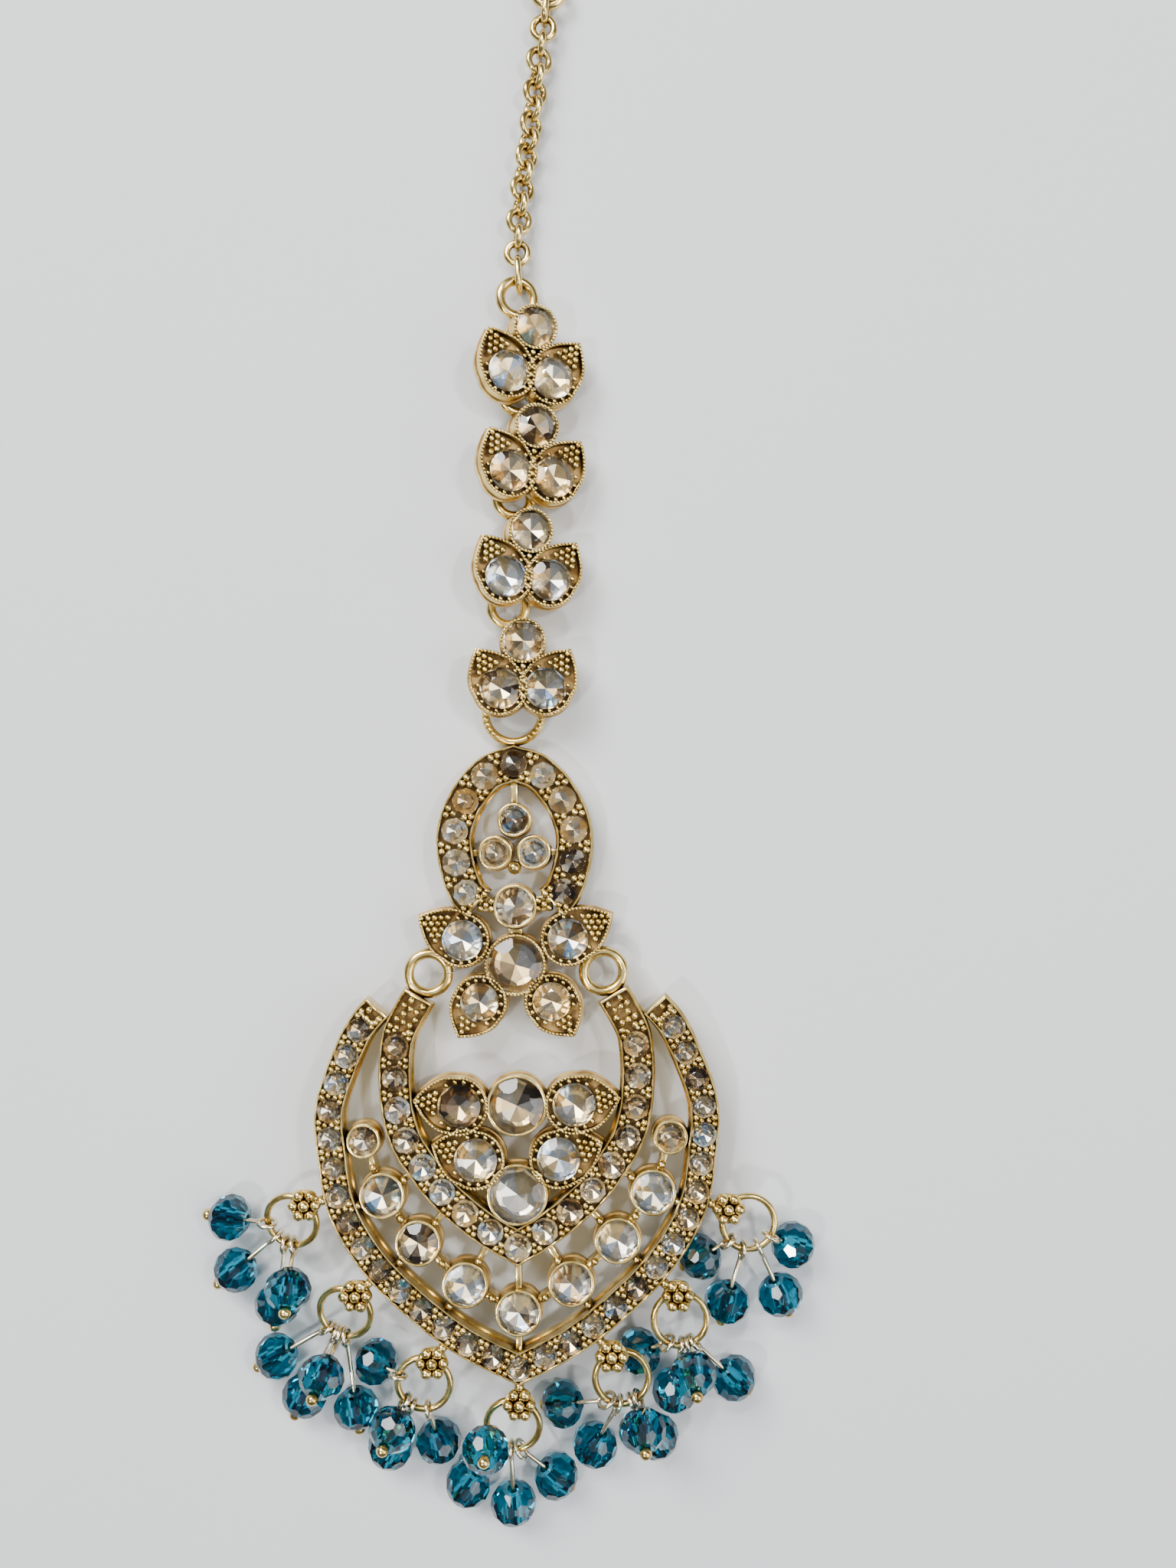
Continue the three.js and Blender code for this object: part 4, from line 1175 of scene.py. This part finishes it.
def link_place(x, y, row):
    """The link's place, turned about its top stone and rolled about its back loop."""
    axis = at(HOOK_LOOP_AT.x, 0, LINK_LOOP_RISE)
    return at(x, y) @ turn("Z", row["turn"]) @ axis @ turn("Y", row["roll"]) @ axis.inverted()


# Chain and hook

CHAIN_LINE = smooth_line([Vector((x, y, 0)) for x, y in CHAIN_ROUTE], steps=40, centripetal=True)
WIRE_FLAT = math.cos(math.pi / 5)
CHAIN_PITCH = 2 * (CHAIN_LINK_RADIUS - CHAIN_WIRE * WIRE_FLAT) + CHAIN_CONTACT
LAST_LINK_AT = CONNECTOR_HALF_SLOT + (CHAIN_LINKS + 1) * CHAIN_PITCH + LAST_LINK_HALF_SLOT


def chain_place(distance):
    place, direction = along(CHAIN_LINE, distance)
    heading = math.degrees(math.atan2(direction.y, direction.x)) - 90
    return at(place.x, place.y, CHAIN_LINK_RADIUS + CHAIN_WIRE) @ turn("Z", heading)


def chain_link(distance, roll, half_slot=0.0):
    link = ring_wire(CHAIN_LINK_RADIUS, CHAIN_WIRE, half_slot, steps=(28, 10))
    link.data.transform(chain_place(distance) @ turn("Y", roll))
    return link


def chain(place):
    links = [chain_link(0, 90, CONNECTOR_HALF_SLOT)]
    for i in range(CHAIN_LINKS):
        twist = CHAIN_TWIST * math.sin(math.pi * i / (CHAIN_LINKS - 1))
        links.append(chain_link(CONNECTOR_HALF_SLOT + (i + 1) * CHAIN_PITCH, (i % 2) * 90 + twist))
    links.append(chain_link(LAST_LINK_AT, 90, LAST_LINK_HALF_SLOT))
    join_as("chain", links, place)


def hair_hook(place):
    bend_start = HOOK_EYE_RADIUS + HOOK_SHANK
    line = [Vector((0, HOOK_EYE_RADIUS, 0)), Vector((0, bend_start, 0))]
    for i in range(1, HOOK_BEND_STEPS + 1):
        angle = math.pi * i / HOOK_BEND_STEPS
        across = HOOK_BEND_RADIUS * (1 - math.cos(angle))
        forward = HOOK_BEND_FLAT * HOOK_BEND_RADIUS * math.sin(angle)
        line.append(Vector((across, bend_start + forward, 0)))
    line.append(Vector((2 * HOOK_BEND_RADIUS, bend_start - HOOK_POINT, 0)))
    shank = wire_along(line, HOOK_WIRE * ROUND_WIRE_SHARE)
    eye = ring_wire(HOOK_EYE_RADIUS, HOOK_WIRE * ROUND_WIRE_SHARE)
    join_as("hair_hook", [rounded(shank, BAR_EDGE), eye], place)


# Rings and bead drops


def drop_ring_place(row):
    place, _ = floret_at(row)
    tip = at(place.x, place.y, RING_RISE) @ turn("Z", row["heading"]) @ turn("Y", row["dip"])
    return PENDANT @ tip @ at(DROP_RING_RADIUS, 0)


def bead_drop(node, ring, at_degrees, heading_degrees, reach_share, height_share):
    """One bead on its ball-ended pin; the pin's eye goes round the ring's wire."""
    ring_place = drop_ring_place(FLORETS[ring - 1])
    angle, heading = math.radians(at_degrees), math.radians(heading_degrees)
    on_wire = ring_place @ (Vector((math.cos(angle), math.sin(angle), 0)) * DROP_RING_RADIUS)
    reach = reach_share * BEAD_RADIUS
    rise = height_share * BEAD_RADIUS - on_wire.z
    level = math.sqrt(max(reach * reach - rise * rise, 0))
    axis = Vector((level * math.cos(heading), level * math.sin(heading), rise)).normalized()
    flat = ring_place.to_3x3() @ Vector((-math.sin(angle), math.cos(angle), 0))
    flat = (flat - axis * flat.dot(axis)).normalized()
    third = axis.cross(flat)
    slack = EYE_RADIUS - EYE_WIRE - DROP_RING_WIRE - EYE_CLEARANCE
    basis = Matrix((-third, flat, axis)).transposed().to_4x4()
    place = Matrix.Translation(on_wire + axis * slack) @ basis
    middle = reach - slack
    pin = wire_along(eye_and_pin(middle), PIN_RADIUS * ROUND_WIRE_SHARE, WIRE, round_steps=2)
    spin = turn("Z", random.uniform(0, 360 / BEAD_SIDES))
    bead = copied(BEAD, at(0, 0, middle) @ Matrix.Scale(BEAD_RADIUS, 4) @ spin)
    ball = copied(GRANULE, scaled(0, 0, middle + BEAD_SHOULDER + BALL_RADIUS * BALL_SEAT, BALL_RADIUS))
    join_as(node, [pin, bead, ball], place)


def eye_and_pin(middle):
    """The pin from its ball end, through the bead, and round into an eye that almost closes on it."""
    turns = [math.radians(90 - EYE_SWEEP * i / EYE_STEPS) for i in range(1, EYE_STEPS + 1)]
    eye = [Vector((EYE_RADIUS * math.cos(a), 0, EYE_RADIUS * math.sin(a))) for a in turns]
    ball_end = Vector((0, 0, middle + BEAD_SHOULDER + PIN_IN_BALL))
    return [ball_end, Vector((0, 0, EYE_RADIUS + PIN_ABOVE_EYE)), *eye]


crescent()
crest()
for side, node in ((-1, "side_ring_left"), (1, "side_ring_right")):
    ring = jump_ring(SIDE_RING_RADIUS, SIDE_RING_WIRE)
    ring.data.transform(at(side * WING_RING.x, WING_RING.y, RING_RISE))
    join_as(node, [ring], PENDANT)
for number, row in enumerate(FLORETS, 1):
    join_as(f"drop_ring_{number}", [jump_ring(DROP_RING_RADIUS, DROP_RING_WIRE)], drop_ring_place(row))
for number, row in enumerate(BEAD_DROPS):
    bead_drop(f"bead_drop_{row[0]}_{number % DROPS_PER_RING + 1}", *row)

link_x, link_y = BAIL_AT.x, BAIL_AT.y
for number, row in enumerate(LINK_STEPS):
    link_x += row["across"]
    link_y += row["forward"]
    leaf_link(f"leaf_link_{len(LINK_STEPS) - number}", link_place(link_x, link_y, row))

top_loop = link_place(link_x, link_y, LINK_STEPS[-1]) @ (LINK_LOOP_AT + Vector((0, LINK_LOOP_RADIUS, 0)))
connector_step = CONNECTOR_HALF_SLOT + CHAIN_LINK_RADIUS - LINK_LOOP_WIRE - CHAIN_WIRE - LINK_PLAY
chain_start = at(top_loop.x, top_loop.y + connector_step)
chain(chain_start)
eye_step = CHAIN_LINK_RADIUS + LAST_LINK_HALF_SLOT - CHAIN_WIRE - HOOK_WIRE - LINK_PLAY + HOOK_EYE_RADIUS
hair_hook(chain_start @ chain_place(LAST_LINK_AT) @ at(0, eye_step))

for model in models:
    bpy.data.objects.remove(model)

# Floor, lights and camera

floor_material, floor_nodes, _ = new_material("pale_floor")
floor_nodes["Principled BSDF"].inputs["Base Color"].default_value = (0.62, 0.63, 0.64, 1)
floor_nodes["Principled BSDF"].inputs["Roughness"].default_value = 0.8
bpy.ops.mesh.primitive_plane_add(size=3, location=(0, 0, 0))
floor = bpy.context.object
floor.name = "floor"
floor.data.materials.append(floor_material)


def soft_light(name, place, size, power):
    light = bpy.data.lights.new(name, "AREA")
    light.size = size
    light.energy = power
    lamp = bpy.data.objects.new(name, light)
    lamp.location = place
    lamp.rotation_euler = (-Vector(place)).to_track_quat("-Z", "Y").to_euler()
    bpy.context.scene.collection.objects.link(lamp)


soft_light("window", (-0.28, 0.36, 0.45), size=0.3, power=6.0)
soft_light("overhead", (0.02, 0.0, 0.5), size=0.5, power=0.45)
soft_light("fill", (0.45, -0.15, 0.4), size=0.4, power=2.2)
soft_light("glint_left", (-0.13, -0.12, 0.3), size=0.025, power=0.45)
soft_light("glint_right", (0.15, 0.05, 0.3), size=0.025, power=0.45)
soft_light("glint_back", (-0.02, 0.22, 0.34), size=0.025, power=0.45)
world = bpy.data.worlds.new("studio")
world.use_nodes = True
world.node_tree.nodes["Background"].inputs["Color"].default_value = (0.8, 0.86, 0.95, 1)
world.node_tree.nodes["Background"].inputs["Strength"].default_value = 0.2
bpy.context.scene.world = world

camera_data = bpy.data.cameras.new("camera")
camera_data.sensor_fit = "VERTICAL"
camera_data.sensor_height = SENSOR_HEIGHT
camera_data.lens = CAMERA_LENS
camera_data.clip_start = 0.001
camera = bpy.data.objects.new("camera", camera_data)
camera.location = CAMERA_PLACE
bpy.context.scene.collection.objects.link(camera)
bpy.context.scene.camera = camera
